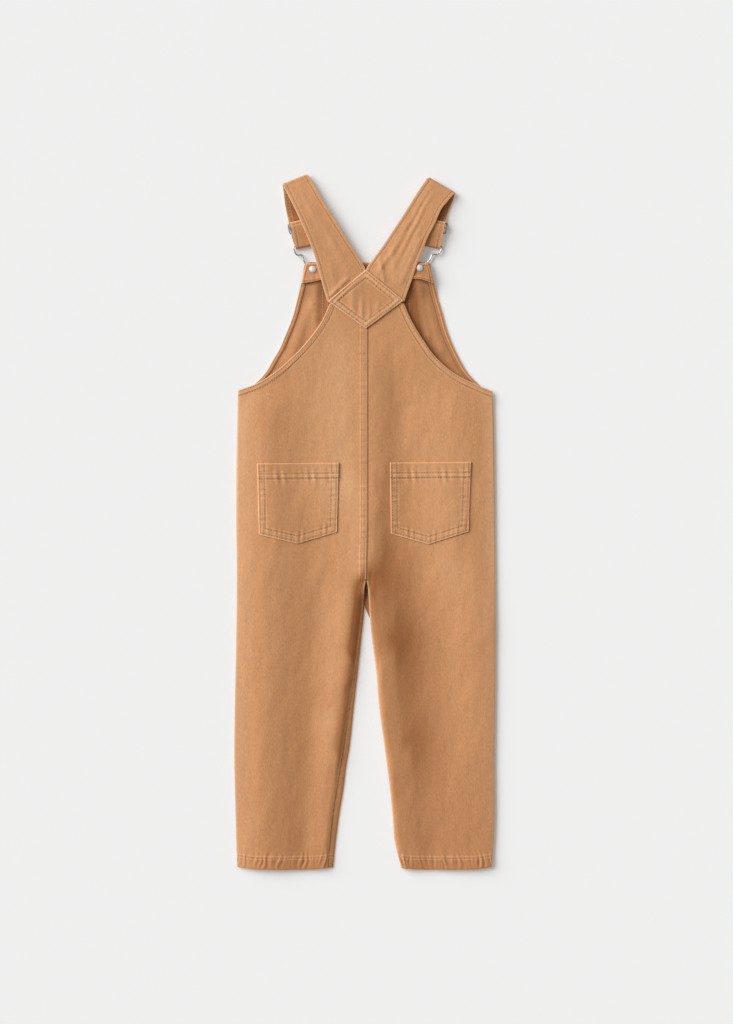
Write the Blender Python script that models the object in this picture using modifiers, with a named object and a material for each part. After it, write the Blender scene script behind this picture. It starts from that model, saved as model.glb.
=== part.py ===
"""A child's dungarees in heavy cotton twill, laid flat with the back uppermost.

The front lies on the table, the back lies over it, and the straps fold over at the shoulders,
so their buckled ends lie underneath. +X is to the right, +Y points to the straps and +Z is up
off the table. All lengths are in metres. "left" and "right" are as seen from the back.
"""

import math

import bmesh
import bpy
from mathutils import Vector

# Cloth and clearances
CLOTH = 0.0012            # one layer of twill
FACING_CLOTH = 0.0010     # the strip behind the bib's top edge
STRAP_CLOTH = 0.0018      # a strap is a folded double layer
GAP = 0.0003              # between pieces that are sewn or lie together
HEM_RAISE = 0.0004        # a turned hem stands this much prouder than one layer

# Main lines of the garment
NECKLINE = 0.2393         # where the back's top ends, under the yoke patch
WAIST = 0.1287            # the seam between the bib and the fronts, hidden under the back
CROTCH = -0.0638
LEG_HEM = 0.0145          # depth of the turned hem at the ankle
SEAM_BAND = 0.0075        # width of the felled seam down the centre of the back
SEAM_X = 0.0026           # its free edge, just right of the middle
CROTCH_X = 0.0016

# Hardware
BUTTON_HEAD = (0.0075, 0.0022)      # radius and height
BUTTON_SHANK = (0.0026, 0.0045)     # radius and top
TACK = (0.0037, 0.0012)             # radius and height of the tack's dome
WIRE = 0.0009                       # radius of the buckle wire
SLIDER_WIRE = 0.0008
BIB_RISE = 0.0048                   # how far the bib's corners are held up by buttons and wires
BUTTON_AT = {"left": (-0.0571, 0.2762), "right": (0.0602, 0.2778)}

# Outlines, from the top of the garment downwards, as (x, y)
ARMHOLE = {
    "left": (
        (-0.1393, 0.1436), (-0.1172, 0.1519), (-0.0961, 0.1656), (-0.0751, 0.1846),
        (-0.0583, 0.2035), (-0.0457, 0.2224), (-0.0383, NECKLINE),
    ),
    "right": (
        (0.1402, 0.1425), (0.1228, 0.1498), (0.0996, 0.1614), (0.0785, 0.1793),
        (0.0638, 0.1993), (0.0512, 0.2203), (0.0428, NECKLINE),
    ),
}
OUTER_EDGE = {
    "left": (
        (-0.1396, 0.1436), (-0.1411, 0.0715), (-0.1415, 0.0011), (-0.1409, -0.0638),
        (-0.1415, -0.1309), (-0.1430, -0.1969), (-0.1436, -0.2629), (-0.1421, -0.3289),
        (-0.1406, -0.3820),
    ),
    "right": (
        (0.1406, 0.1425), (0.1421, 0.0715), (0.1426, 0.0011), (0.1432, -0.0638),
        (0.1434, -0.1309), (0.1430, -0.1969), (0.1422, -0.2629), (0.1423, -0.3289),
        (0.1394, -0.3820),
    ),
}
# The back's inner leg edge. On the left leg it lies short of the fold, so a strip of front shows.
INSEAM = {
    "left": (
        (0.0014, CROTCH), (-0.0006, -0.0759), (-0.0022, -0.1001), (-0.0055, -0.1265),
        (-0.0106, -0.1661), (-0.0167, -0.2035), (-0.0194, -0.2215), (-0.0288, -0.2826),
        (-0.0351, -0.3226), (-0.0387, -0.3563), (-0.0404, -0.3820),
    ),
    "right": (
        (0.0018, CROTCH), (0.0037, -0.0759), (0.0051, -0.1001), (0.0074, -0.1265),
        (0.0125, -0.1661), (0.0158, -0.2057), (0.0211, -0.2453), (0.0246, -0.2717),
        (0.0279, -0.2981), (0.0304, -0.3245), (0.0326, -0.3509), (0.0400, -0.3820),
    ),
}
LEG_FOLD = {
    "left": (
        (0.0014, CROTCH), (0.0000, -0.0759), (-0.0009, -0.1001), (-0.0035, -0.1265),
        (-0.0077, -0.1661), (-0.0123, -0.2057), (-0.0164, -0.2453), (-0.0207, -0.2717),
        (-0.0240, -0.2981), (-0.0284, -0.3245), (-0.0317, -0.3509), (-0.0350, -0.3820),
    ),
    "right": INSEAM["right"],
}
LEG_END = (                # the bottom edge dips a little between its two ends
    # share of the leg's width, y
    (0.00, -0.3800), (0.18, -0.3826), (0.50, -0.3832), (0.85, -0.3826), (1.00, -0.3812),
)
BIB_EDGE = {
    "left": (
        (-0.0662, 0.2825), (-0.0673, 0.2783), (-0.0680, 0.2739), (-0.0702, 0.2607),
        (-0.0746, 0.2431), (-0.0779, 0.2299), (-0.0823, 0.2167), (-0.0878, 0.2035),
        (-0.0933, 0.1903), (-0.1010, 0.1771), (-0.1087, 0.1639), (-0.1185, 0.1529),
        (-0.1317, 0.1419), (-0.1391, WAIST),
    ),
    "right": (
        (0.0721, 0.2825), (0.0726, 0.2783), (0.0730, 0.2739), (0.0765, 0.2607),
        (0.0809, 0.2431), (0.0849, 0.2299), (0.0884, 0.2167), (0.0926, 0.2035),
        (0.0981, 0.1903), (0.1047, 0.1771), (0.1124, 0.1639), (0.1223, 0.1529),
        (0.1333, 0.1419), (0.1401, WAIST),
    ),
}
BIB_TOP = 0.2842
BIB_HEM = 0.0055
FACING_END = (             # the facing's lower edge
    # x, y
    (-0.0700, 0.2609), (-0.0570, 0.2624), (-0.0482, 0.2646), (0.0530, 0.2657),
    (0.0607, 0.2657), (0.0662, 0.2640), (0.0762, 0.2607),
)
BIB_POCKET = (0.0013, 0.0495, 0.1600, 0.2535)    # middle, half width, bottom, top
YOKE = {"left": (-0.0406, 0.2411), "top": (0.0011, 0.2758), "right": (0.0427, 0.2418),
        "bottom": (0.0011, 0.2111)}

POCKET_HEM = 0.0170
BACK_POCKET = {
    # top outer, top inner, bottom inner, point, bottom outer
    "left": ((-0.1183, 0.0631), (-0.0284, 0.0641), (-0.0305, -0.0122), (-0.0740, -0.0249),
             (-0.1162, -0.0150)),
    "right": ((0.1168, 0.0650), (0.0276, 0.0641), (0.0287, -0.0139), (0.0701, -0.0255),
              (0.1139, -0.0116)),
}

# How the back lies: soft ridges in the cloth, with the seams and edges between them
BACK_LIE = 0.0040          # height of the back's outer face away from any ridge
EDGE_LIE = 0.0029          # and at the side seams, where it meets the front
EDGE_ROLL = 0.0130         # width over which the sides roll down to the seam
RIDGES = (
    # x and y at the upper end, x and y at the lower end, half width, height
    (-0.116, 0.125, -0.121, -0.050, 0.018, 0.0019),
    (-0.121, -0.050, -0.126, -0.200, 0.016, 0.0020),
    (-0.126, -0.200, -0.125, -0.385, 0.017, 0.0018),
    (0.002, 0.205, 0.002, -0.062, 0.020, 0.0022),
    (0.102, 0.125, 0.107, -0.050, 0.019, 0.0016),
    (0.107, -0.050, 0.121, -0.205, 0.018, 0.0017),
    (0.121, -0.205, 0.118, -0.385, 0.018, 0.0015),
    (-0.013, -0.095, -0.022, -0.200, 0.011, 0.0021),
    (-0.022, -0.200, -0.050, -0.385, 0.011, 0.0019),
    (0.018, -0.095, 0.030, -0.200, 0.011, 0.0022),
    (0.030, -0.200, 0.050, -0.385, 0.012, 0.0018),
    (-0.044, -0.045, -0.072, -0.110, 0.013, 0.0008),
    (-0.060, 0.110, -0.066, 0.080, 0.014, 0.0005),
    (0.082, -0.310, 0.088, -0.370, 0.014, 0.0006),
)

# Straps, from under the yoke patch up to the shoulder, as two edges with their heights.
STRAP_OVER = {
    # outer x, outer y, outer z, inner x, inner y, inner z
    "left": (
        (-0.0409, 0.2411, 0.00655, 0.0010, 0.2404, 0.0061),
        (-0.0451, 0.2552, 0.00775, 0.0010, 0.2574, 0.0064),
        (-0.0495, 0.2712, 0.00915, 0.0010, 0.2748, 0.0068),
        (-0.0538, 0.2866, 0.00930, -0.0072, 0.2899, 0.0073),
        (-0.0585, 0.3007, 0.00940, -0.0172, 0.3051, 0.0078),
        (-0.0648, 0.3162, 0.00960, -0.0266, 0.3203, 0.0083),
        (-0.0713, 0.3313, 0.00940, -0.0367, 0.3366, 0.0086),
        (-0.0779, 0.3450, 0.00820, -0.0465, 0.3522, 0.0080),
        (-0.0838, 0.3571, 0.00680, -0.0539, 0.3656, 0.0069),
        (-0.0895, 0.3679, 0.00560, -0.0622, 0.3797, 0.0056),
    ),
    "right": (
        (0.0431, 0.2409, 0.00655, 0.0014, 0.2404, 0.0061),
        (0.0481, 0.2552, 0.00775, 0.0014, 0.2574, 0.0064),
        (0.0532, 0.2695, 0.00915, 0.0014, 0.2748, 0.0068),
        (0.0581, 0.2844, 0.00930, 0.0094, 0.2877, 0.0073),
        (0.0636, 0.2976, 0.00940, 0.0192, 0.3009, 0.0078),
        (0.0695, 0.3124, 0.00960, 0.0290, 0.3157, 0.0083),
        (0.0768, 0.3262, 0.00940, 0.0391, 0.3307, 0.0086),
        (0.0832, 0.3410, 0.00820, 0.0492, 0.3469, 0.0080),
        (0.0899, 0.3500, 0.00680, 0.0585, 0.3619, 0.0069),
        (0.0974, 0.3586, 0.00560, 0.0684, 0.3762, 0.0056),
    ),
}
# The same straps under that: the shoulder fold, the slider, then the turn round the buckle bar.
STRAP_UNDER = {
    "left": (
        (-0.0900, 0.3668, 0.00100, -0.0628, 0.3762, 0.00100),
        (-0.0892, 0.3597, 0.00095, -0.0612, 0.3673, 0.00095),
        (-0.0876, 0.3465, 0.00095, -0.0593, 0.3529, 0.00095),
        (-0.0852, 0.3350, 0.00130, -0.0568, 0.3409, 0.00130),
        (-0.0839, 0.3295, 0.00310, -0.0555, 0.3354, 0.00310),
        (-0.0823, 0.3220, 0.00310, -0.0539, 0.3279, 0.00310),
        (-0.0807, 0.3145, 0.00310, -0.0523, 0.3204, 0.00310),
        (-0.0793, 0.3090, 0.00170, -0.0509, 0.3149, 0.00170),
        (-0.0780, 0.3045, 0.00095, -0.0496, 0.3104, 0.00095),
        (-0.0764, 0.3013, 0.00095, -0.0480, 0.3072, 0.00095),
    ),
    "right": (
        (0.0986, 0.3577, 0.00100, 0.0724, 0.3723, 0.00100),
        (0.0965, 0.3509, 0.00095, 0.0691, 0.3618, 0.00095),
        (0.0921, 0.3394, 0.00095, 0.0643, 0.3475, 0.00095),
        (0.0904, 0.3345, 0.00130, 0.0622, 0.3409, 0.00130),
        (0.0888, 0.3290, 0.00310, 0.0605, 0.3348, 0.00310),
        (0.0871, 0.3217, 0.00310, 0.0588, 0.3275, 0.00310),
        (0.0854, 0.3142, 0.00310, 0.0571, 0.3200, 0.00310),
        (0.0843, 0.3088, 0.00170, 0.0560, 0.3146, 0.00170),
        (0.0834, 0.3042, 0.00095, 0.0551, 0.3100, 0.00095),
        (0.0829, 0.3017, 0.00095, 0.0546, 0.3075, 0.00095),
    ),
}
# The turned-back end above the buckle bar, by distance from the bar: it caps the slider's bar.
STRAP_RETURN = (
    # distance, height
    (0.0070, 0.0057), (0.0140, 0.0067), (0.0195, 0.0072), (0.0225, 0.0072), (0.0250, 0.0067),
    (0.0268, 0.0056),
)
SLIDER_AT = 0.0208         # distance of the slider's middle bar from the buckle bar
SLIDER = (0.0173, 0.0055)  # half width, half height
SLIDER_LOW = 0.0011        # height of its outer bars
SLIDER_HIGH = 0.0051       # and of its middle bar
BUCKLE_BAR = 0.0031        # height of the bar inside the strap's turn
# Half of the buckle's wire, from the middle of the bar round to the end of its keyhole.
BUCKLE_HALF = (
    # across, down
    (0.0, 0.0), (0.0156, 0.0), (0.0164, 0.0010), (0.0162, 0.0045), (0.0154, 0.0078),
    (0.0136, 0.0097), (0.0102, 0.0098), (0.0085, 0.0112), (0.0081, 0.0165), (0.0070, 0.0200),
    (0.0050, 0.0230), (0.0040, 0.0252), (0.0045, 0.0284), (0.0032, 0.0315), (0.0, 0.0328),
)
KEYHOLE = 0.0284           # distance from the bar to the middle of the keyhole

TWILL = ("twill", (0.56, 0.29, 0.14), 0.85, 0.0)
STEEL = ("steel", (0.70, 0.69, 0.67), 0.30, 1.0)


def new_material(name, spec):
    kind, colour, roughness, metallic = spec
    material = bpy.data.materials.new(f"{kind}_{name}")
    material.use_nodes = True
    shader = material.node_tree.nodes["Principled BSDF"]
    shader.inputs["Base Color"].default_value = (*colour, 1.0)
    shader.inputs["Roughness"].default_value = roughness
    shader.inputs["Metallic"].default_value = metallic
    return material


def add_object(name, mesh, spec, angle=40.0):
    piece = bpy.data.objects.new(name, mesh)
    parts.objects.link(piece)
    mesh.materials.clear()
    mesh.materials.append(new_material(name, spec))
    mesh.shade_smooth()
    mesh.set_sharp_from_angle(angle=math.radians(angle))
    return piece


def ease(t):
    """0 to 1 with no corner at either end."""
    t = min(max(t, 0.0), 1.0)
    return t * t * (3.0 - 2.0 * t)


def curve_through(points, steps=8):
    """A dense smooth curve through a short list of points."""
    knots = [Vector(point) for point in points]
    knots = [2 * knots[0] - knots[1], *knots, 2 * knots[-1] - knots[-2]]
    dense = []
    for before, start, end, after in zip(knots, knots[1:], knots[2:], knots[3:]):
        for step in range(steps):
            t = step / steps
            bend = (end - before) * t + (2 * before - 5 * start + 4 * end - after) * t * t
            turn = (3 * start - before - 3 * end + after) * t * t * t
            dense.append(start + 0.5 * (bend + turn))
    dense.append(knots[-2])
    return dense


def point_at(curve, share):
    """The point that lies a share of the way along a dense curve, by length."""
    left = share * sum((end - start).length for start, end in zip(curve, curve[1:]))
    for start, end in zip(curve, curve[1:]):
        length = (end - start).length
        if left <= length:
            return start.lerp(end, left / length)
        left -= length
    return curve[-1].copy()


def x_at(curve, y):
    """Where an edge that runs down the garment crosses the height y."""
    for above, below in zip(curve, curve[1:]):
        if above.y >= y >= below.y and above.y > below.y:
            return above.lerp(below, (above.y - y) / (above.y - below.y)).x
    return curve[0].x if y > curve[0].y else curve[-1].x


def y_on(table, x):
    """Straight-line reading of a short table of (x, y)."""
    for (x0, y0), (x1, y1) in zip(table, table[1:]):
        if x <= x1:
            return y0 + (y1 - y0) * max(x - x0, 0.0) / (x1 - x0)
    return table[-1][1]


def panel(name, rows, underside, thickness=CLOTH, spec=TWILL):
    """A closed cloth wall over rows of (x, y, raise), all rows alike in length.

    The underside follows the height given; the outer face is one thickness above it, and
    higher by the raise where a hem or seam is turned.
    """
    mesh = bmesh.new()
    bmesh.ops.create_grid(mesh, x_segments=len(rows[0]) - 1, y_segments=len(rows) - 1, size=1.0)
    raised = mesh.verts.layers.float.new("raised")
    mesh.verts.ensure_lookup_table()
    for vert, (x, y, extra) in zip(mesh.verts, (spot for row in rows for spot in row)):
        vert.co = (x, y, underside(x, y))
        vert[raised] = extra
    made = bmesh.ops.extrude_face_region(mesh, geom=mesh.faces[:])
    for vert in made["geom"]:
        if isinstance(vert, bmesh.types.BMVert):
            vert.co.z += thickness + vert[raised]
    bmesh.ops.recalc_face_normals(mesh, faces=mesh.faces[:])
    data = bpy.data.meshes.new(name)
    mesh.to_mesh(data)
    mesh.free()
    return add_object(name, data, spec)


def ribbon(name, stations, thickness):
    """A strap: an open strip across pairs of edge points, thickened evenly about itself."""
    across = 4
    mesh = bmesh.new()
    bmesh.ops.create_grid(mesh, x_segments=across, y_segments=len(stations) - 1, size=1.0)
    mesh.verts.ensure_lookup_table()
    for index, vert in enumerate(mesh.verts):
        outer, inner = stations[index // (across + 1)]
        vert.co = outer.lerp(inner, (index % (across + 1)) / across)
    data = bpy.data.meshes.new(name)
    mesh.to_mesh(data)
    mesh.free()
    piece = add_object(name, data, TWILL, angle=50.0)
    solid = piece.modifiers.new("thickness", "SOLIDIFY")
    solid.thickness = thickness
    solid.offset = 0.0
    solid.use_even_offset = True
    return piece


def wire_mesh(name, points, radius, cyclic, resolution=2):
    """A mesh of round wire along a polyline."""
    curve = bpy.data.curves.new(name, "CURVE")
    curve.dimensions = "3D"
    curve.bevel_depth = radius
    curve.bevel_resolution = resolution
    curve.use_fill_caps = True
    spline = curve.splines.new("POLY")
    spline.points.add(len(points) - 1)
    for place, point in zip(spline.points, points):
        place.co = (*point, 1.0)
    spline.use_cyclic_u = cyclic
    holder = bpy.data.objects.new(name + "_curve", curve)
    parts.objects.link(holder)
    evaluated = holder.evaluated_get(bpy.context.evaluated_depsgraph_get())
    data = bpy.data.meshes.new_from_object(evaluated)
    bpy.data.objects.remove(holder)
    bpy.data.curves.remove(curve)
    welded = bmesh.new()
    welded.from_mesh(data)
    bmesh.ops.remove_doubles(welded, verts=welded.verts[:], dist=0.00001)
    welded.to_mesh(data)
    welded.free()
    return data


def turned(name, profile, place, spec=STEEL):
    """A piece turned on a vertical axis, from a profile of (radius, z) read downwards."""
    data = bpy.data.meshes.new(name)
    edges = [(index, index + 1) for index in range(len(profile) - 1)]
    data.from_pydata([(radius, 0.0, z) for radius, z in profile], edges, [])
    piece = add_object(name, data, spec)
    piece.location = place
    screw = piece.modifiers.new("turning", "SCREW")
    screw.steps = 24
    screw.render_steps = 24
    screw.use_merge_vertices = True
    screw.merge_threshold = 0.00001
    return piece


# Heights of the layers

def bib_underside(x, y):
    """The bib lies on its pocket and is held up at its corners by the buttons under them."""
    middle, half, bottom, top = BIB_POCKET
    beside = max(abs(x - middle) - half - 0.004, 0.0)
    beyond = max(bottom - 0.004 - y, y - top - 0.004, 0.0)
    on_pocket = (CLOTH + GAP + 0.0001) * (1.0 - ease(math.hypot(beside, beyond) / 0.014))
    held = 0.0
    for at in BUTTON_AT.values():
        away = (Vector((x, y)) - Vector(at)).length
        held = max(held, BIB_RISE * (1.0 - ease((away - 0.0100) / 0.030)))
    return math.hypot(on_pocket, held)


def yoke_height(x, y):
    """Outer face of the straps and the back where they meet under the yoke patch."""
    up = min(max((y - 0.241) / 0.034, 0.0), 1.0)
    down = min(max((0.241 - y) / 0.040, 0.0), 1.0)
    return 0.0070 + 0.0006 * up - 0.0010 * down + (0.0005 + 0.0020 * up) * abs(x) / 0.045


def ridges(x, y):
    """Height of the soft ridges at a place, each fading across its half width."""
    height = 0.0
    spot = Vector((x, y))
    for x0, y0, x1, y1, half, rise in RIDGES:
        start, along = Vector((x0, y0)), Vector((x1 - x0, y1 - y0))
        share = min(max((spot - start).dot(along) / along.length_squared, 0.0), 1.0)
        away = (spot - start - along * share).length
        height = max(height, rise * math.exp(-((away / half) ** 2)))
    return height


def edge_share(x, y):
    """0 at a side seam or inner leg fold, rising to 1 where the edge has rolled up."""
    edge = OUTER["left"] if x < SEAM_X else OUTER["right"]
    away = abs(x_at(edge, y) - x)
    if y < CROTCH:
        inner = LEG_INSIDE["left"] if x < x_at(LEG_INSIDE["left"], y) + 0.001 else LEG_INSIDE["right"]
        fade = ease((CROTCH - y) / 0.025)
        away = min(away, abs(x_at(inner, y) - x) + EDGE_ROLL * (1.0 - fade))
    t = 1.0 - min(away / EDGE_ROLL, 1.0)
    return math.sqrt(1.0 - t * t)


def back_height(x, y):
    """Outer face of the plain back at a place."""
    lie = BACK_LIE + ridges(x, y)
    lie = max(lie, 0.0046) if y > WAIST else lie
    rise = ease((y - 0.135) / 0.080)
    lie += (yoke_height(x, y) - lie) * rise
    low = EDGE_LIE + 0.0005 * ease((y - 0.120) / 0.02)
    return low + (lie - low) * edge_share(x, y)


def back_underside(x, y):
    return back_height(x, y) - CLOTH


# Panels

def back_panel(side):
    """Half of the back, in one with its leg: columns fan out below the armhole."""
    shares = (0.0, 0.015, 0.040, 0.080, 0.135, 0.20, 0.27, 0.34, 0.41, 0.48, 0.55, 0.62, 0.69,
              0.76, 0.82, 0.875, 0.925, 0.945, 0.949, 0.975, 0.99, 1.0)
    sign = -1.0 if side == "left" else 1.0
    corner, half_gap = 0.76, GAP / 2 * sign
    armhole = curve_through(ARMHOLE[side])
    outer, inseam = OUTER[side], INSEAM_CURVE[side]
    seam_width = abs(x_at(outer, CROTCH) - SEAM_X)
    if side == "left":
        band = [HEM_RAISE if share > 0.947 else 0.0 for share in shares]
    else:
        band = [0.0] * len(shares)

    tops = []
    for share in shares:
        seam_side = SEAM_X + half_gap + sign * (1.0 - share) * seam_width
        if share <= corner:
            top = point_at(armhole, share / corner)
            ahead = point_at(armhole, min(share / corner + 0.02, 1.0))
            behind = point_at(armhole, max(share / corner - 0.02, 0.0))
            along = (ahead - behind).normalized()
            inward = Vector((-along.y * sign, along.x * sign))
            if inward.y > 0.0:
                inward = -inward
            inward = inward.lerp(Vector((0.0, -1.0)), 1.0 - ease(share / 0.1)).normalized()
            width = 0.0078 + (0.0045 - 0.0078) * share / corner
        else:
            edge = armhole[-1].x
            reach = SEAM_X + half_gap + sign * 0.075 * seam_width
            if share <= 0.925:
                seam_side = edge + (reach - edge) * (share - corner) / (0.925 - corner)
            top, inward, width = Vector((seam_side, NECKLINE)), Vector((0.0, -1.0)), 0.0045
        tops.append((top, inward * width))

    rows = []
    for step, raise_up in ((0.0, HEM_RAISE), (0.96, HEM_RAISE), (1.04, 0.0)):
        row = []
        for (top, inward), seam_raise, share in zip(tops, band, shares):
            spot = top + inward * step
            row.append((spot.x, spot.y, max(raise_up if share <= corner else 0.0, seam_raise)))
        rows.append(row)
    # Torso rows fan down to the crotch row.
    steps = 13
    for step in range(1, steps + 1):
        row = []
        for (top, inward), seam_raise, share in zip(tops, band, shares):
            start = top + inward * 1.04
            end_seam = CROTCH_X + half_gap if step == steps else SEAM_X + half_gap
            end = Vector((x_at(outer, CROTCH) + (end_seam - x_at(outer, CROTCH)) * share, CROTCH))
            spot = start.lerp(end, step / steps)
            if share >= 0.925:
                spot.x = end_seam + sign * (1.0 - share) * seam_width
            if share == 0.0:
                spot.x = x_at(outer, spot.y)
            row.append((spot.x, spot.y, seam_raise if step < steps else seam_raise / 2))
        rows.append(row)
    # Leg rows run straight across, down to the turned hem.
    leg_steps = 15
    for step in range(1, leg_steps + 1):
        rows.append(leg_row(shares, outer, inseam, step / leg_steps, 0.0, 0.0))
    rows.append(leg_row(shares, outer, inseam, 1.0, 0.0008, HEM_RAISE))
    rows.append(leg_row(shares, outer, inseam, 1.0, LEG_HEM, HEM_RAISE))
    return panel(f"back_{side}", rows, back_underside)


def leg_row(shares, outer, inner, step, past_hem, raise_up):
    """A row across a leg; step runs from the crotch to the hem's top, past_hem goes below that."""
    row = []
    for share in shares:
        end = y_on(LEG_END, share)
        y = CROTCH + (end + LEG_HEM - CROTCH) * step - past_hem
        left, right = x_at(outer, y), x_at(inner, y)
        row.append((left + (right - left) * share, y, raise_up))
    return row


def front_panel(side):
    """Half of the front below the waist seam, flat on the table, with its rolled inner edge."""
    sign = -1.0 if side == "left" else 1.0
    outer, seam_edge, fold = OUTER[side], INSEAM_CURVE[side], LEG_INSIDE[side]
    plain = (0.0, 0.12, 0.27, 0.42, 0.57, 0.72, 0.86)
    rows = []
    heights = [WAIST - GAP, 0.08, 0.03, -0.02, CROTCH]
    leg = [CROTCH + (-0.3826 - CROTCH) * step / 13 for step in range(1, 14)]
    for y in heights + leg:
        left = x_at(outer, y) - sign * 0.0005
        under = (SEAM_X if y > CROTCH else x_at(seam_edge, y)) + sign * GAP / 2
        under = CROTCH_X + sign * GAP / 2 if y == CROTCH else under
        lip = ease((-0.150 - y) / 0.060) if side == "left" else 0.0
        end = x_at(fold, y) if y < CROTCH else under
        width = abs(end - under)
        row = [(left + (under - left) * share, y, 0.0) for share in plain]
        row.append((under + sign * 0.0003, y, 0.0))
        top = 0.0017 * lip if width > 0.002 else 0.0
        for share, rise in ((0.08, 1.0), (0.40, 0.95), (0.75, 0.65), (1.0, 0.10)):
            reach = max(width, 0.0012)
            base = under if width > 0.002 else under + sign * 0.0013
            x = base + sign * 0.0 + (0.0003 + (reach - 0.0003) * share) * -sign
            if width <= 0.002:
                x = (under + sign * 0.0003) - sign * (0.00035 * (share + 0.2))
            row.append((x, y, top * rise))
        rows.append(row)
    return panel(f"front_{side}", rows, lambda x, y: 0.0)


def bib():
    left, right = BIB_SIDE["left"], BIB_SIDE["right"]
    heights = [BIB_TOP, 0.2825, 0.2783, 0.272, 0.264, 0.256, 0.248, 0.240, 0.231, 0.221, 0.210,
               0.199, 0.188, 0.177, 0.166, 0.156, 0.146, 0.138, WAIST]
    rows = []
    for number, y in enumerate(heights):
        inset = 0.0027 if number == 0 else 0.0
        start, end = x_at(left, y) + inset, x_at(right, y) - inset
        hem = BIB_HEM - inset
        row = [(start, y, HEM_RAISE), (start + hem, y, HEM_RAISE), (start + hem + 0.0004, y, 0.0)]
        inner, width = start + hem + 0.0004, end - start - 2 * (hem + 0.0004)
        row += [(inner + width * step / 14, y, 0.0) for step in range(1, 14)]
        row += [(end - hem - 0.0004, y, 0.0), (end - hem, y, HEM_RAISE), (end, y, HEM_RAISE)]
        rows.append(row)
    return panel("bib", rows, bib_underside)


def bib_facing():
    left, right = BIB_SIDE["left"], BIB_SIDE["right"]
    clear = CLOTH + HEM_RAISE + GAP
    columns = 20
    rows = []
    for step in range(5):
        row = []
        for column in range(columns + 1):
            share = column / columns
            top_y = BIB_TOP - 0.0009
            x_top = (x_at(left, 0.2825) + 0.0016) * (1 - share) + (x_at(right, 0.2825) - 0.0016) * share
            x_low = (x_at(left, 0.2610) + 0.0006) * (1 - share) + (x_at(right, 0.2610) - 0.0006) * share
            low_y = y_on(FACING_END, x_low)
            down = (0.0, 0.10, 0.40, 0.75, 1.0)[step]
            bow = 0.0006 * math.sin(math.pi * down) * (1 if share < 0.5 else -1) * abs(2 * share - 1)
            x = x_top + (x_low - x_top) * down - bow
            row.append((x, top_y + (low_y - top_y) * down, 0.0))
        rows.append(row)
    return panel("bib_facing", rows, lambda x, y: bib_underside(x, y) + clear, FACING_CLOTH)


def bib_pocket():
    """The pocket on the bib's front lies on the table, under the bib."""
    middle, half, bottom, top = BIB_POCKET
    rows = []
    for y in (top, top - 0.012, (top + bottom) / 2, bottom + 0.012, bottom):
        drop = 0.0
        narrow = 0.008 if y == bottom else 0.0
        row = []
        for share in (-1.0, -0.8, -0.4, 0.0, 0.4, 0.8, 1.0):
            row.append((middle + share * (half - narrow), y - drop, 0.0))
        rows.append(row)
    return panel("bib_pocket", rows, lambda x, y: 0.0)


def back_pocket(side):
    """A patch pocket with a pointed base, made from the back's own lie, moved out."""
    top_out, top_in, low_in, point, low_out = (Vector(p) for p in BACK_POCKET[side])
    columns = (0.0, 0.03, 0.085, 0.2, 0.32, 0.44, 0.5, 0.56, 0.68, 0.8, 0.915, 0.97, 1.0)
    rows = []
    for down, raise_up in ((0.0, 0.0006), (0.185, 0.0006), (0.20, 0.0), (0.36, 0.0), (0.52, 0.0),
                           (0.68, 0.0), (0.82, 0.0), (0.92, 0.0003), (1.0, 0.0003)):
        row = []
        for share in columns:
            top = top_out.lerp(top_in, share)
            if share <= 0.5:
                low = low_out.lerp(point, share * 2)
            else:
                low = point.lerp(low_in, share * 2 - 1)
            spot = top.lerp(low, down)
            edge = 0.0003 if share < 0.05 or share > 0.95 else 0.0
            row.append((spot.x, spot.y, max(raise_up, edge)))
        rows.append(row)
    return panel(f"pocket_{side}", rows, lambda x, y: back_height(x, y) + 0.0004)


def yoke_patch():
    """The diamond that covers the ends of the straps and the top of the back."""
    left, top, right, bottom = (Vector(YOKE[key]) for key in ("left", "top", "right", "bottom"))
    steps = (0.0, 0.03, 0.15, 0.17, 0.33, 0.5, 0.67, 0.83, 0.85, 0.97, 1.0)
    rows = []
    for down in steps:
        row = []
        for along in steps:
            spot = left.lerp(top, along).lerp(bottom.lerp(right, along), down)
            border = min(down, 1 - down, along, 1 - along)
            row.append((spot.x, spot.y, 0.0003 if border < 0.16 else 0.0))
        rows.append(row)
    under = HEM_RAISE + GAP + 0.0001

    def height(x, y):
        return max(yoke_height(x, y), back_height(x, y) if y < NECKLINE else 0.0) + under

    return panel("yoke_patch", rows, height)


# Straps and their hardware

def strap_frame(side):
    """The buckle bar's middle, the direction across it and the direction down to the button."""
    last = STRAP_UNDER[side][-1]
    outer, inner = Vector(last[:2]), Vector(last[3:5])
    across = (outer - inner).normalized()
    down = Vector((across.y, -across.x))
    if down.y > 0:
        down = -down
    return (outer + inner) / 2, across, down


def turn(outer, inner, push, radius, begin, end, steps):
    """Stations round a fold: angle 0 is straight below the fold's axis, 180 straight above."""
    found = []
    for step in range(steps + 1):
        angle = math.radians(begin + (end - begin) * step / steps)
        shift = push * math.sin(angle) * radius
        lift = Vector((0.0, 0.0, -math.cos(angle) * radius))
        found.append((outer + shift + lift, inner + shift + lift))
    return found


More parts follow.
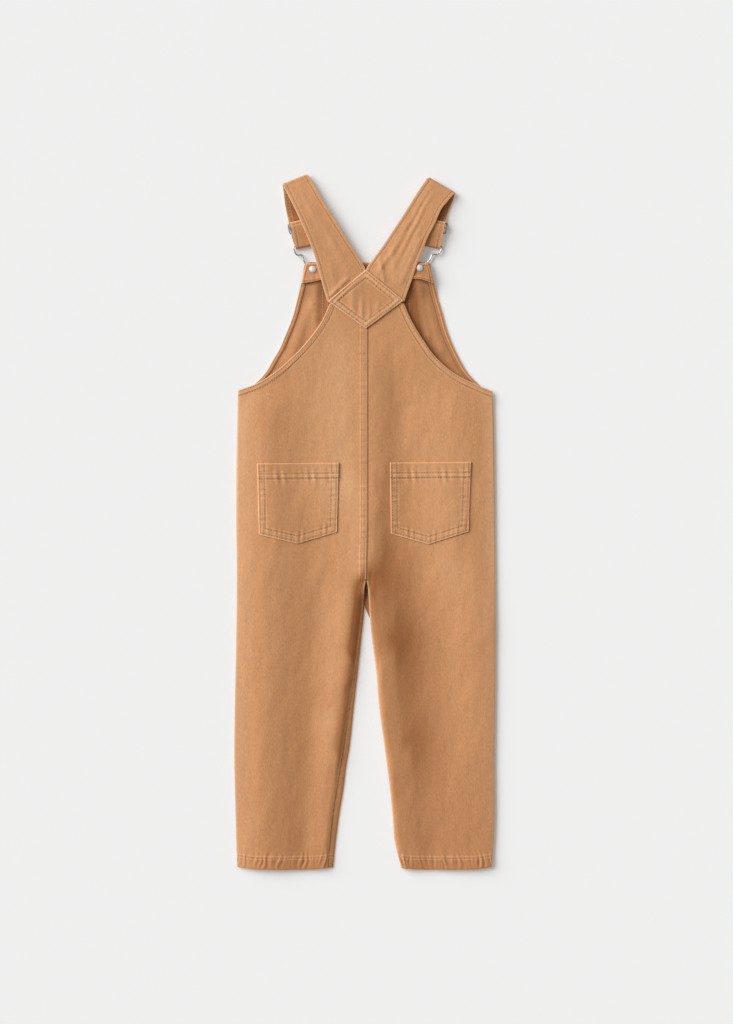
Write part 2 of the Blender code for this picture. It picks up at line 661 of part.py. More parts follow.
def strap(side):
    over = STRAP_OVER[side]
    under = STRAP_UNDER[side]
    stations = [(Vector(row[:3]), Vector(row[3:])) for row in over]

    # The roll over the shoulder turns the strap from the upper layer to the lower one.
    top_outer, top_inner = stations[-1]
    low_outer, low_inner = Vector(under[0][:3]), Vector(under[0][3:])
    fold = top_inner - top_outer
    push = Vector((-fold.y, fold.x, 0.0)).normalized()
    if push.y < 0:
        push = -push
    radius = (top_outer.z - low_outer.z) / 2
    for step in range(1, 8):
        angle = math.pi * step / 8
        share = step / 8
        rise = Vector((0.0, 0.0, radius * (math.cos(angle) - 1.0 + 2.0 * share)))
        shift = push * math.sin(angle) * radius + rise
        stations.append((top_outer.lerp(low_outer, share) + shift,
                         top_inner.lerp(low_inner, share) + shift))
    stations += [(Vector(row[:3]), Vector(row[3:])) for row in under]

    # Round the buckle bar, then back up over the slider.
    middle, across, down = strap_frame(side)
    half = (stations[-1][0] - stations[-1][1]).length / 2
    bar_outer = Vector((*(middle + across * half), BUCKLE_BAR))
    bar_inner = Vector((*(middle - across * half), BUCKLE_BAR))
    push = Vector((*down, 0.0))
    stations += turn(bar_outer, bar_inner, push, BUCKLE_BAR - 0.00095, 25.0, 180.0, 6)
    for distance, height in STRAP_RETURN:
        back = Vector((*(-down * distance), height - BUCKLE_BAR))
        stations.append((bar_outer + back, bar_inner + back))
    return ribbon(f"strap_{side}", stations, STRAP_CLOTH)


def slider(side):
    """A bent wire frame under the strap, with a middle bar that the strap's end caps."""
    middle, across, down = strap_frame(side)
    centre = middle - down * SLIDER_AT
    half, high = SLIDER

    def spot(w, d, z):
        return (*(centre + across * w + down * d), z)

    ring = []
    for w_sign, d_sign in ((1, -1), (1, 1), (-1, 1), (-1, -1)):
        corner = [(half - 0.0012, high), (half - 0.0003, high - 0.0004), (half, high - 0.0015)]
        corner = corner if w_sign * d_sign < 0 else corner[::-1]
        for w, d in corner:
            ring.append(spot(w * w_sign, d * d_sign, SLIDER_LOW))
        if w_sign == 1 and d_sign == -1:
            ring += [spot(half, -0.0020, SLIDER_HIGH), spot(half, 0.0020, SLIDER_HIGH)]
        if w_sign == -1 and d_sign == 1:
            ring += [spot(-half, 0.0020, SLIDER_HIGH), spot(-half, -0.0020, SLIDER_HIGH)]
    frame = add_object(f"slider_{side}", wire_mesh(f"slider_{side}", ring, SLIDER_WIRE, True), STEEL)
    bar_points = [spot(-half, 0.0, SLIDER_HIGH), spot(half, 0.0, SLIDER_HIGH)]
    bar = bpy.data.objects.new(f"slider_bar_{side}",
                               wire_mesh(f"slider_bar_{side}", bar_points, SLIDER_WIRE * 0.9, False))
    cutters.objects.link(bar)
    bar.hide_render = True
    bar.display_type = "WIRE"
    joined = frame.modifiers.new("middle bar", "BOOLEAN")
    joined.operation = "UNION"
    joined.object = bar
    return frame


def buckle(side):
    """The buckle's wire: a bar in the strap's turn, shoulders, and a keyhole round the shank."""
    middle, across, down = strap_frame(side)
    aim = Vector(BUTTON_AT[side]) - middle
    skew = aim.dot(across) / aim.dot(down)
    reach = aim.dot(down) / KEYHOLE
    ring = []
    halves = [(w, d) for w, d in BUCKLE_HALF] + [(-w, d) for w, d in BUCKLE_HALF[-2:0:-1]]
    for w, d in halves:
        share = ease(d / KEYHOLE)
        spot = middle + across * (w + skew * KEYHOLE * reach * share) + down * d * (1 + (reach - 1) * share)
        ring.append((*spot, BUCKLE_BAR + (0.0036 - BUCKLE_BAR) * share))
    return add_object(f"buckle_{side}", wire_mesh(f"buckle_{side}", ring, WIRE, True), STEEL)


def button(side):
    """The button's head lies on the table and its shank passes through the buckle's keyhole."""
    head, height = BUTTON_HEAD
    shank, top = BUTTON_SHANK
    profile = [(0.0, top), (shank - 0.0003, top), (shank, top - 0.0003), (shank, height + 0.0004),
               (shank + 0.0004, height), (head - 0.0009, height), (head - 0.0002, height - 0.0005),
               (head, height - 0.0011), (head - 0.0003, 0.0004), (head - 0.0009, 0.0), (0.0, 0.0)]
    turned(f"button_{side}", profile, (*BUTTON_AT[side], 0.0))


def tack(side):
    """The dome of the tack that holds the button, on the inside of the bib."""
    radius, height = TACK
    foot = BIB_RISE + CLOTH + HEM_RAISE + GAP + FACING_CLOTH + GAP
    profile = [(0.0, height), (radius * 0.45, height * 0.94), (radius * 0.75, height * 0.74),
               (radius * 0.93, height * 0.42), (radius, height * 0.10), (radius * 0.97, 0.0), (0.0, 0.0)]
    turned(f"tack_{side}", profile, (*BUTTON_AT[side], foot))


for old in list(bpy.data.objects):
    bpy.data.objects.remove(old)

parts = bpy.data.collections.new("dungarees")
cutters = bpy.data.collections.new("cutters")
bpy.context.scene.collection.children.link(parts)
bpy.context.scene.collection.children.link(cutters)

OUTER = {side: curve_through(points) for side, points in OUTER_EDGE.items()}
INSEAM_CURVE = {side: curve_through(points) for side, points in INSEAM.items()}
LEG_INSIDE = {side: curve_through(points) for side, points in LEG_FOLD.items()}
BIB_SIDE = {side: curve_through(points) for side, points in BIB_EDGE.items()}

bib()
bib_facing()
bib_pocket()
yoke_patch()
for side in ("left", "right"):
    front_panel(side)
    back_panel(side)
    back_pocket(side)
    strap(side)
    slider(side)
    buckle(side)
    button(side)
    tack(side)
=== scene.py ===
# %% [markdown]
# # Dungarees laid flat
# A child's dungarees in tan cotton twill lie on a pale surface with the back uppermost. The front
# is underneath, and the straps fold over at the shoulders down to their wire buckles.
# Everything is built in metres on the solids of the frame: +X is to the right, +Y points to the
# straps and +Z is up off the table. Heavy cloth that lies flat shows its form in three ways: soft
# ridges a few millimetres high, raised seams and hems, and the paler colour of every edge, partly
# left by washing and partly a painted highlight. Each cloth piece is therefore a thin shell whose
# heights are worked out from named ridges, and it carries its distance from each hem, so the
# material can draw seams where they are. Light and shade that the low ridges don't give are painted
# into its colour.

# %% Load the frame
import math

import bmesh
import bpy
import numpy as np
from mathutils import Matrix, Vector
from mathutils.bvhtree import BVHTree


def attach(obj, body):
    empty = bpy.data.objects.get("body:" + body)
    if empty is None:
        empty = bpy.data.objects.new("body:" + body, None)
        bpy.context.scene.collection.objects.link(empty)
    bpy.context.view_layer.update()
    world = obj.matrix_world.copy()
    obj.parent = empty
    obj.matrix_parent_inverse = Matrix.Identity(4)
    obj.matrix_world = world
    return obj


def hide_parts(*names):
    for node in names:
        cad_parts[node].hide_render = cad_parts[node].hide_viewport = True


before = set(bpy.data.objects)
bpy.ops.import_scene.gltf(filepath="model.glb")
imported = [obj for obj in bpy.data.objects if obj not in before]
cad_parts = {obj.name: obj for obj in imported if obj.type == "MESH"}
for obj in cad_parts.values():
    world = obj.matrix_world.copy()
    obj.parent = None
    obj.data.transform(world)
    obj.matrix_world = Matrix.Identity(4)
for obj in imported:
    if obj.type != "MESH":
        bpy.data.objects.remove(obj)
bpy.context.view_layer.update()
print("nodes:", ", ".join(sorted(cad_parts)))

# %% [markdown]
# ## Cloth sizes
# One layer of this twill is a little over a millimetre thick. A strap is a folded double layer, and
# a turned hem stands slightly proud. Naming such sizes once keeps every piece to the same cloth. The
# heights are measured up the garment from the middle of the picture.

# %% Cloth sizes
CLOTH = 0.0011  # one layer of twill
STRAP_CLOTH = 0.0017  # a strap, folded double and pressed
HEM_PROUD = 0.0004  # how far a turned hem stands up
ANKLE_HEM = 0.0145  # depth of the hem at the ankles
SEAM_BAND = 0.0075  # width of the felled centre seam
GAP = 0.0003  # between two pieces that lie side by side
NECKLINE = 0.2393  # top of the back, under the yoke patch
WAIST = 0.1287  # where the bib is sewn to the front
CROTCH = -0.0638  # where the legs part
LOWEST = -0.3832  # the ankle
SEAM_X = 0.0026  # the centre seam on the back
CROTCH_X = 0.0016  # the same seam where it ends at the crotch
print("leg from the crotch to the ankle:", round(CROTCH - LOWEST, 3), "m")

# %% [markdown]
# ## Outlines
# A pattern cutter draws each panel with a few points and a smooth curve through them. The same is
# done here: short tables of (x, y) points down each edge, read through a Catmull-Rom curve, which
# passes through every point. Left and right are as seen from the back. A leg's fold can lie beside
# its inseam, where the front's edge rolls up, so the left leg has a line for each.

# %% Outline tables
ARMHOLE = {
    "left": (
        (-0.1393, 0.1436), (-0.1172, 0.1519), (-0.0961, 0.1656), (-0.0751, 0.1846),
        (-0.0583, 0.2035), (-0.0457, 0.2224), (-0.0383, NECKLINE),
    ),
    "right": (
        (0.1402, 0.1425), (0.1228, 0.1498), (0.0996, 0.1614), (0.0785, 0.1793),
        (0.0638, 0.1993), (0.0512, 0.2203), (0.0428, NECKLINE),
    ),
}
OUTER_EDGE = {
    "left": (
        (-0.1396, 0.1436), (-0.1411, 0.0715), (-0.1415, 0.0011), (-0.1409, -0.0638),
        (-0.1415, -0.1309), (-0.1430, -0.1969), (-0.1436, -0.2629), (-0.1421, -0.3289),
        (-0.1406, -0.3820),
    ),
    "right": (
        (0.1406, 0.1425), (0.1421, 0.0715), (0.1426, 0.0011), (0.1432, -0.0638),
        (0.1434, -0.1309), (0.1430, -0.1969), (0.1422, -0.2629), (0.1423, -0.3289),
        (0.1394, -0.3820),
    ),
}
INSEAM = {
    "left": (
        (0.0014, CROTCH), (-0.0006, -0.0759), (-0.0022, -0.1001), (-0.0055, -0.1265),
        (-0.0106, -0.1661), (-0.0167, -0.2035), (-0.0194, -0.2215), (-0.0288, -0.2826),
        (-0.0351, -0.3226), (-0.0387, -0.3563), (-0.0404, -0.3820),
    ),
    "right": (
        (0.0018, CROTCH), (0.0037, -0.0759), (0.0051, -0.1001), (0.0074, -0.1265),
        (0.0125, -0.1661), (0.0158, -0.2057), (0.0211, -0.2453), (0.0246, -0.2717),
        (0.0279, -0.2981), (0.0304, -0.3245), (0.0326, -0.3509), (0.0400, -0.3820),
    ),
}
LEG_FOLD = {
    "left": (
        (0.0014, CROTCH), (0.0000, -0.0759), (-0.0009, -0.1001), (-0.0035, -0.1265),
        (-0.0077, -0.1661), (-0.0123, -0.2057), (-0.0164, -0.2453), (-0.0207, -0.2717),
        (-0.0240, -0.2981), (-0.0284, -0.3245), (-0.0317, -0.3509), (-0.0350, -0.3820),
    ),
    "right": INSEAM["right"],
}
LEG_END = (
    # share of the leg's width, y
    (0.00, -0.3800), (0.18, -0.3826), (0.50, -0.3832), (0.85, -0.3826), (1.00, -0.3812),
)
SIGN = {"left": -1.0, "right": 1.0}
print("points on the outlines:", sum(len(points) for table in (ARMHOLE, OUTER_EDGE, INSEAM)
                                     for points in table.values()))

# %% [markdown]
# ## Curves as arrays
# A dense panel has tens of thousands of points, so the curves are read with numpy, many points at
# a time. `smooth_line` returns a curve resampled evenly, `x_of` reads an edge at any height, and
# `away_from` measures how far each point lies from a line, which later places seams and wear.

# %% Curve helpers
def through(points, steps):
    """A Catmull-Rom curve through every point, with that many steps from each to the next."""
    knots = np.vstack([2 * points[0] - points[1], points, 2 * points[-1] - points[-2]])
    t = np.linspace(0.0, 1.0, steps, endpoint=False)[:, None]
    pieces = []
    for before, start, end, after in zip(knots, knots[1:], knots[2:], knots[3:]):
        bend = (end - before) * t + (2 * before - 5 * start + 4 * end - after) * t**2
        pieces.append(start + 0.5 * (bend + (3 * start - before - 3 * end + after) * t**3))
    return np.vstack([*pieces, knots[-2:-1]])


def smooth_line(points, spacing=0.0008):
    return evenly(through(np.array(points, float), 24), spacing)


def evenly(line, spacing):
    run = np.concatenate([[0.0], np.cumsum(np.linalg.norm(np.diff(line, axis=0), axis=1))])
    count = max(int(round(run[-1] / spacing)), 2)
    wanted = np.linspace(0.0, run[-1], count + 1)
    return np.stack([np.interp(wanted, run, line[:, i]) for i in range(line.shape[1])], axis=1)


def x_of(line, y):
    """Where a line that runs down the garment is at a height."""
    return np.interp(y, line[::-1, 1], line[::-1, 0])


def away_from(line, x, y):
    """Distance of each point from the nearest place on a line."""
    start, along = line[:-1], np.diff(line, axis=0)
    nearest = np.full(x.shape, 9.0)
    for (sx, sy), (dx, dy) in zip(start, along):
        share = np.clip(((x - sx) * dx + (y - sy) * dy) / (dx * dx + dy * dy), 0.0, 1.0)
        nearest = np.minimum(nearest, np.hypot(x - sx - share * dx, y - sy - share * dy))
    return nearest


def read_table(at, table):
    """The second column of a table, read at values of its first column."""
    return np.interp(at, *zip(*table))


def ease(t):
    """0 below 0, 1 above 1, and a smooth step between."""
    t = np.clip(t, 0.0, 1.0)
    return t * t * (3.0 - 2.0 * t)


def bell(distance, at, half):
    """1 where the distance is at that value, falling softly to 0 over about twice half."""
    return np.exp(-(((distance - at) / half) ** 2))


outer_line = {side: smooth_line(points) for side, points in OUTER_EDGE.items()}
inseam_line = {side: smooth_line(points) for side, points in INSEAM.items()}
fold_line = {side: smooth_line(points) for side, points in LEG_FOLD.items()}
armhole_line = {side: smooth_line(points, 0.002) for side, points in ARMHOLE.items()}
print("armhole lengths:", {side: round(0.002 * len(line), 3) for side, line in armhole_line.items()})

# %% [markdown]
# ## How the cloth lies
# Two layers of stiff twill with a little air between them make long soft ridges: one inside each
# side seam, one along the centre seam, and one along the inside of each leg. Cloth simulation would
# make folds of its own, so the ridges are listed one by one, each with a line, a half width and a
# height. They are joined with a power mean, which gives smooth saddles where two ridges meet.

# %% Ridges and the lie of the back
BACK_LIE = 0.0034  # top of the back where it lies flat on the front
EDGE_LIE = 0.0029  # and at the folded edges
EDGE_ROLL = 0.0110  # width over which it rolls down to them
RIDGES = (
    # x and y at the upper end, x and y at the lower end, width to the left, to the right, height
    (-0.104, 0.120, -0.104, -0.050, 0.030, 0.034, 0.0036),
    (-0.104, -0.050, -0.106, -0.385, 0.028, 0.034, 0.0037),
    (0.006, 0.205, 0.012, 0.020, 0.052, 0.024, 0.0036),
    (0.012, 0.020, 0.003, -0.064, 0.038, 0.017, 0.0040),
    (0.102, 0.120, 0.108, 0.000, 0.046, 0.032, 0.0028),
    (0.108, 0.000, 0.128, -0.120, 0.046, 0.024, 0.0032),
    (0.128, -0.120, 0.126, -0.385, 0.046, 0.020, 0.0030),
    (-0.013, -0.085, -0.022, -0.175, 0.028, 0.012, 0.0042),
    (-0.022, -0.175, -0.030, -0.260, 0.028, 0.012, 0.0034),
    (-0.030, -0.260, -0.045, -0.385, 0.026, 0.014, 0.0022),
    (0.008, -0.080, 0.016, -0.175, 0.010, 0.032, 0.0043),
    (0.016, -0.175, 0.028, -0.270, 0.010, 0.031, 0.0040),
    (0.028, -0.270, 0.045, -0.385, 0.010, 0.026, 0.0026),
    (-0.046, -0.045, -0.076, -0.110, 0.013, 0.013, 0.0010),
    (-0.060, 0.110, -0.066, 0.080, 0.014, 0.014, 0.0006),
    (0.082, -0.310, 0.088, -0.370, 0.014, 0.014, 0.0008),
)


def soft_band(x, y, x0, y0, x1, y1, left, right):
    """1 on a slanting line, falling softly to 0 over its own width on each side."""
    dx, dy = x1 - x0, y1 - y0
    share = np.clip(((x - x0) * dx + (y - y0) * dy) / (dx * dx + dy * dy), 0.0, 1.0)
    off_x, off_y = x - x0 - share * dx, y - y0 - share * dy
    wide = right + (left - right) * ease(0.5 - off_x / 0.006)
    return np.exp(-((np.hypot(off_x, off_y) / wide) ** 2))


def ridge_sum(x, y, table=RIDGES, power=3.0):
    total = np.zeros(np.shape(x))
    for *line, rise in table:
        total = total + (rise * 1000 * soft_band(x, y, *line)) ** power
    return total ** (1.0 / power) / 1000


def yoke_height(x, y):
    """Lie of the back where the straps and the bib's buttons hold it up."""
    up = np.clip((y - 0.241) / 0.034, 0.0, 1.0)
    down = np.clip((0.241 - y) / 0.040, 0.0, 1.0)
    return 0.0070 + 0.0006 * up - 0.0010 * down + (0.0005 + 0.0020 * up) * np.abs(x) / 0.045


def edge_share(x, y):
    """0 at a folded edge of the garment, 1 where the cloth has risen to its full height."""
    left = x < SEAM_X
    outer = np.where(left, x_of(outer_line["left"], y), x_of(outer_line["right"], y))
    inner_left, inner_right = x_of(inseam_line["left"], y), x_of(inseam_line["right"], y)
    on_left = x < (inner_left + inner_right) / 2
    inner = np.where(on_left, inner_left, inner_right)
    fade = ease((CROTCH - y) / 0.025)
    inner_away = np.abs(inner - x) * 1.6 + EDGE_ROLL * (1.0 - fade)
    away = np.minimum(np.abs(outer - x), np.where(y < CROTCH, inner_away, 1.0))
    t = 1.0 - np.minimum(away / EDGE_ROLL, 1.0)
    share = np.sqrt(np.maximum(1.0 - t * t, 0.0))
    return share + (1.0 - share) * 0.35 * ease((x - 0.09) / 0.02)


def back_height(x, y):
    lie = BACK_LIE + ridge_sum(x, y)
    lie = np.where(y > WAIST, np.maximum(lie, 0.0046), lie)
    lie = lie + (yoke_height(x, y) - lie) * ease((y - 0.135) / 0.080)
    low = EDGE_LIE + 0.0005 * ease((y - 0.120) / 0.02)
    return low + (lie - low) * edge_share(x, y)


def centre_seam(y):
    """Where the centre seam runs: straight down the back and slightly left at the crotch."""
    return SEAM_X + (CROTCH_X - SEAM_X) * ease((-0.002 - y) / 0.060)


print("height of the back on the left ridge:", round(float(back_height(-0.104, 0.0)) * 1000, 1), "mm")


# %% [markdown]
# ## Unevenness
# No cloth lies as smoothly as a drawn curve. A handful of long waves in different directions, with
# wavelengths from 8 to 58 mm and heights well under half a millimetre, breaks the evenness. They
# come from a seeded generator, so every run gives the same cloth. Thread that was sewn under tension
# gathers the cloth beside it, and `puckers` gives those small waves along a seam.

# %% Unevenness
def waves(seed, count, longest, shortest, height):
    """Waves of seeded directions, from the longest and highest to the shortest and lowest."""
    chance = np.random.default_rng(seed)
    made = []
    for number in range(count):
        length = longest * (shortest / longest) ** (number / max(count - 1, 1))
        angle, start = chance.uniform(-0.55, 0.35), chance.uniform(0, 2 * math.pi)
        made.append((2 * math.pi / length, angle, start, height * (length / longest) ** 0.9))
    return made


def waviness(x, y, made):
    total = np.zeros(np.shape(x))
    for number, angle, start, height in made:
        bend = 0.5 * np.sin(number * 0.31 * (x * math.sin(angle) - y * math.cos(angle)) + start * 2)
        across = number * (x * math.cos(angle) + y * math.sin(angle)) + start + bend * 2
        total = total + height * np.sin(across)
    return total


uneven = waves(5, 8, 0.058, 0.008, 0.00012)
print("waves:", len(uneven), "from 58 to 8 mm long")


def puckers(run, pitch, seed):
    """Small waves along a seam; three pitches close to each other never quite repeat."""
    chance = np.random.default_rng(seed)
    total = np.zeros(np.shape(run))
    for share in (0.8, 1.0, 1.27):
        total = total + np.sin(run * 2 * math.pi / pitch * share + chance.uniform(0, 6.28))
    return total / 3.0


# %% [markdown]
# ## Painted light and shade
# The low ridges alone shade the cloth too little, so light and shade are painted into its colour: a
# painted highlight where the cloth faces the low sun on the left, painted shade where it faces away,
# in the hollows beside the centre seam and inside the legs, deepest just under the crotch, and
# painted shade that darkens the back towards the ankles. The outer edges are paler. The bands are
# placed the same way as the ridges and stored on the points: above zero is paler cloth and below
# zero is deeper.

# %% Painted light and shade of the back
PAINTED_SHADING_BANDS = (
    # x and y at the upper end, x and y at the lower end, width to the left, to the right, amount
    # Bands below zero are painted shade. Bands above zero are painted highlight, except the two at x =
    # -0.140 and 0.143, which make the outer edges paler.
    (0.020, -0.055, 0.034, -0.130, 0.014, 0.040, -0.80),
    (0.034, -0.130, 0.052, -0.240, 0.013, 0.036, -0.70),
    (0.052, -0.240, 0.060, -0.345, 0.012, 0.026, -0.30),
    (0.022, 0.040, 0.020, -0.055, 0.008, 0.026, -0.55),
    (0.030, 0.160, 0.026, 0.040, 0.012, 0.014, -0.30),
    (-0.026, 0.190, -0.026, 0.040, 0.030, 0.016, 0.50),
    (-0.012, 0.040, -0.006, -0.045, 0.018, 0.010, 0.50),
    (-0.026, -0.090, -0.040, -0.220, 0.016, 0.012, 0.42),
    (-0.040, -0.220, -0.054, -0.350, 0.014, 0.010, 0.40),
    (-0.064, -0.080, -0.074, -0.360, 0.020, 0.014, -0.22),
    (-0.098, 0.100, -0.094, -0.020, 0.016, 0.016, -0.25),
    (-0.140, 0.130, -0.140, -0.380, 0.006, 0.022, 0.75),
    (0.143, 0.130, 0.143, -0.380, 0.010, 0.004, 1.10),
    (0.075, 0.120, 0.090, -0.060, 0.026, 0.024, 0.22),
    (0.100, -0.060, 0.112, -0.240, 0.030, 0.022, 0.30),
    (-0.003, -0.068, -0.012, -0.140, 0.0075, 0.016, -2.60),
    (-0.012, -0.140, -0.030, -0.250, 0.0050, 0.016, -0.90),
)


def painted_shading(x, y):
    # Painted shade that darkens the back towards the ankles, then the painted highlight or shade of each
    # band.
    total = -0.50 * ease((0.110 - y) / 0.52)
    for *line, amount in PAINTED_SHADING_BANDS:
        total = total + amount * soft_band(x, y, *line)
    return total


print("fading beside the right inseam:", round(float(painted_shading(0.034, -0.130)), 2))

# %% [markdown]
# ## Shells
# Each panel is a grid of points with an outer face and an inner face one cloth thickness below it,
# closed round the edge. Building both faces from heights, in place of a Solidify modifier, lets the
# cloth thin out where it rolls down to the table and never pushes through it. Distances from hems
# and seams are stored on the points as named attributes for the material to read, with `tone` for
# the painted light and shade and the other changes of colour. A distance that doesn't matter on a
# piece is set far away.

# %% Build shells from height grids
FAR = 0.05
MARKS = {"edge": FAR, "hem": FAR, "seam": FAR, "along": FAR, "tone": 0.0}


def add_mesh(name, vertices, quads, smooth=True):
    data = bpy.data.meshes.new(name)
    data.from_pydata(vertices.tolist(), [], quads.tolist())
    data.update()
    if smooth:
        data.polygons.foreach_set("use_smooth", np.ones(len(data.polygons), bool))
    piece = bpy.data.objects.new(name, data)
    bpy.context.scene.collection.objects.link(piece)
    return piece


def grid_quads(rows, columns):
    """Corners of every quad of a grid whose points are numbered row by row."""
    corner = (np.arange(rows - 1)[:, None] * columns + np.arange(columns - 1)).ravel()
    return np.stack([corner, corner + 1, corner + columns + 1, corner + columns], axis=1)


def shell(name, x, y, top, bottom, **marks):
    """A closed shell over a grid; x, y, top and bottom are arrays of rows by columns."""
    rows, columns = x.shape
    count = rows * columns
    upper = np.stack([x.ravel(), y.ravel(), top.ravel()], axis=1)
    lower = np.stack([x.ravel(), y.ravel(), bottom.ravel()], axis=1)
    quads = grid_quads(rows, columns)
    index = np.arange(count).reshape(rows, columns)
    loop = np.concatenate([index[0], index[1:, -1], index[-1, -2::-1], index[-2:0:-1, 0]])
    ahead = np.roll(loop, -1)
    rim = np.stack([loop, loop + count, ahead + count, ahead], axis=1)
    first = upper[quads[0]]
    turned = np.cross(first[1] - first[0], first[2] - first[0])[2] < 0
    faces = np.vstack([quads, quads[:, ::-1] + count, rim])
    if turned:
        faces = faces[:, ::-1]
    piece = add_mesh(name, np.vstack([upper, lower]), faces)
    for key, usual in MARKS.items():
        value = marks.get(key, np.full(x.shape, usual))
        layer = piece.data.attributes.new(key, "FLOAT", "POINT")
        layer.data.foreach_set("value", np.tile(np.asarray(value, float).ravel(), 2))
    return piece


print("marks on each shell:", ", ".join(MARKS))

# %% [markdown]
# ## The back
# Each half of the back is one piece of cloth from the armhole to the ankle. Its columns of points
# start square to the armhole, fan down to the crotch, and then run down the leg. The centre seam is
# felled: one half laps over the other and is stitched twice, so a flat band 7.5 mm wide stands
# proud, drawn up in small puckers by the thread. The ankle hem is turned up and puckers too.

# %% Points of the back
SEAM_SHARE = 0.925  # share of a half's width where the columns turn parallel to the centre seam


def close_steps(total, fine, growth, widest):
    """Distances from 0 to total that start fine and widen."""
    found, step = [0.0], fine
    while found[-1] < total:
        found.append(found[-1] + step)
        step = min(step * growth, widest)
    found = np.array(found)
    return found * (total / found[-1])


def across_leg():
    """Shares of a half's width: fine at the side, fine at the seam and even between."""
    width = 0.142
    side = close_steps(0.5 * width, 0.0004, 1.28, 0.0018)
    seam = [0.0, 0.0003, 0.0007, 0.0012, 0.0020, 0.0030, 0.0040, 0.0050, 0.0060, 0.0068, 0.0073,
            0.0077, 0.0082, 0.0092]
    more = close_steps(0.5 * width - 0.0092, 0.0014, 1.1, 0.0018)[1:] + 0.0092
    return np.concatenate([side / width, (1.0 - np.array(seam + list(more)) / width)[::-1][1:]])


# %% [markdown]
# ## Columns and rows of the back
# The top row follows the armhole and then the neckline. Below it come the rows of the armhole hem,
# a fan of rows down to the crotch whose last columns run straight beside the centre seam, and the
# rows of the leg. All rows have the same number of points, so the whole half is one even grid.

# %% Grid of the back
def armhole_row(side, shares):
    """Points along the armhole, the direction of the columns there, and how far they go that way."""
    sign, outer = SIGN[side], outer_line[side]
    armhole = evenly(armhole_line[side], 0.0004)
    corner = 0.76  # share of the columns that start on the armhole; the rest start on the neckline
    half_gap = sign * GAP / 2
    width = abs(x_of(outer, CROTCH) - SEAM_X)
    place = np.clip(shares / corner, 0.0, 1.0) * (len(armhole) - 1)
    low = np.minimum(place.astype(int), len(armhole) - 2)
    top = armhole[low] + (armhole[low + 1] - armhole[low]) * (place - low)[:, None]
    ahead = armhole[np.minimum(low + 12, len(armhole) - 1)] - armhole[np.maximum(low - 12, 0)]
    ahead /= np.linalg.norm(ahead, axis=1)[:, None]
    inward = np.stack([-ahead[:, 1], ahead[:, 0]], axis=1)
    inward[inward[:, 1] > 0] *= -1
    turn = ease(shares / 0.10)[:, None]
    inward = inward * turn + np.array([0.0, -1.0]) * (1 - turn)
    inward /= np.linalg.norm(inward, axis=1)[:, None]
    reach = 0.0078 + (0.0045 - 0.0078) * np.clip(shares / corner, 0, 1)
    under = shares > corner
    at_corner = inward[np.argmin(np.abs(shares - corner))]
    turn_down = ease((shares - corner) / 0.12)[:, None]
    edge, last = armhole[-1, 0], SEAM_X + half_gap + sign * 0.075 * width
    between = edge + (last - edge) * (shares - corner) / (SEAM_SHARE - corner)
    seam_side = SEAM_X + half_gap + sign * (1.0 - shares) * width
    top[under, 0] = np.where(shares <= SEAM_SHARE, between, seam_side)[under]
    top[under, 1] = NECKLINE
    inward[under] = (at_corner * (1 - turn_down) + np.array([0.0, -1.0]) * turn_down)[under]
    reach[under] = 0.0045
    return top, inward, reach


def back_points(side):
    sign, shares = SIGN[side], across_leg()
    outer, inseam = outer_line[side], inseam_line[side]
    half_gap = sign * GAP / 2
    width = abs(x_of(outer, CROTCH) - SEAM_X)
    top, inward, reach = armhole_row(side, shares)
    # Across the armhole hem, then fanning down to the crotch, then down the leg.
    rows = [top + inward * (step * reach)[:, None]
            for step in (0.0, 0.05, 0.11, 0.19, 0.3, 0.44, 0.6, 0.76, 0.9, 1.0)]
    start = rows[-1]
    foot = np.stack([x_of(outer, CROTCH) + (CROTCH_X + half_gap - x_of(outer, CROTCH)) * shares,
                     np.full(shares.shape, CROTCH)], axis=1)
    for step in np.linspace(0.0, 1.0, 150)[1:]:
        row = start + (foot - start) * step
        straight = SEAM_X + (CROTCH_X - SEAM_X) * ease((step - 0.80) / 0.20)
        seam = straight + half_gap + sign * (1.0 - shares) * width
        row[:, 0] = np.where(shares >= SEAM_SHARE, seam, row[:, 0])
        row[0, 0] = x_of(outer, row[0, 1])
        rows.append(row)
    end = read_table(shares, LEG_END)
    down = 1.0 - close_steps(1.0, 0.0012, 1.25, 0.0056)[::-1]
    for step in down[1:]:
        y = CROTCH + (end - CROTCH) * step
        left, right = x_of(outer, y), x_of(inseam, y)
        rows.append(np.stack([left + (right - left) * shares, y], axis=1))
    grid = np.array(rows)
    return grid[:, :, 0], grid[:, :, 1], end


# %% [markdown]
# ## The lie of the seam and hems
# Heights are added up in layers: the broad lie of the cloth first, then the waves, then the raised
# bands of the hems, the grooves under the stitches and the puckers. The same puckers go into the
# tone: the top of each one is paler, partly rubbed and partly a painted highlight, and the hollow
# between two of them is darker, partly dye kept there and partly painted shade.

# %% Relief of the seam and the ankle hem
SEAM_ROWS = (0.0026, 0.0063)  # the two rows of stitches along the felled seam
SEAM_PUCKER = 0.0075  # pitch of the puckers that they draw up


def seam_profile(from_seam, y):
    """The felled seam's raised band, with its two rows of stitches pulled in."""
    band = ease((SEAM_BAND + 0.0003 - from_seam) / 0.0006)
    round_off = 0.00035 * bell(from_seam, 0.0, 0.0006)
    sunk = 0.00013 * (bell(from_seam, SEAM_ROWS[0], 0.0006) + bell(from_seam, SEAM_ROWS[1], 0.0006))
    ripple = 0.00016 * puckers(y, SEAM_PUCKER, 3) * bell(from_seam, 0.0040, 0.0045)
    return band * (0.00055 - round_off - sunk) + ripple


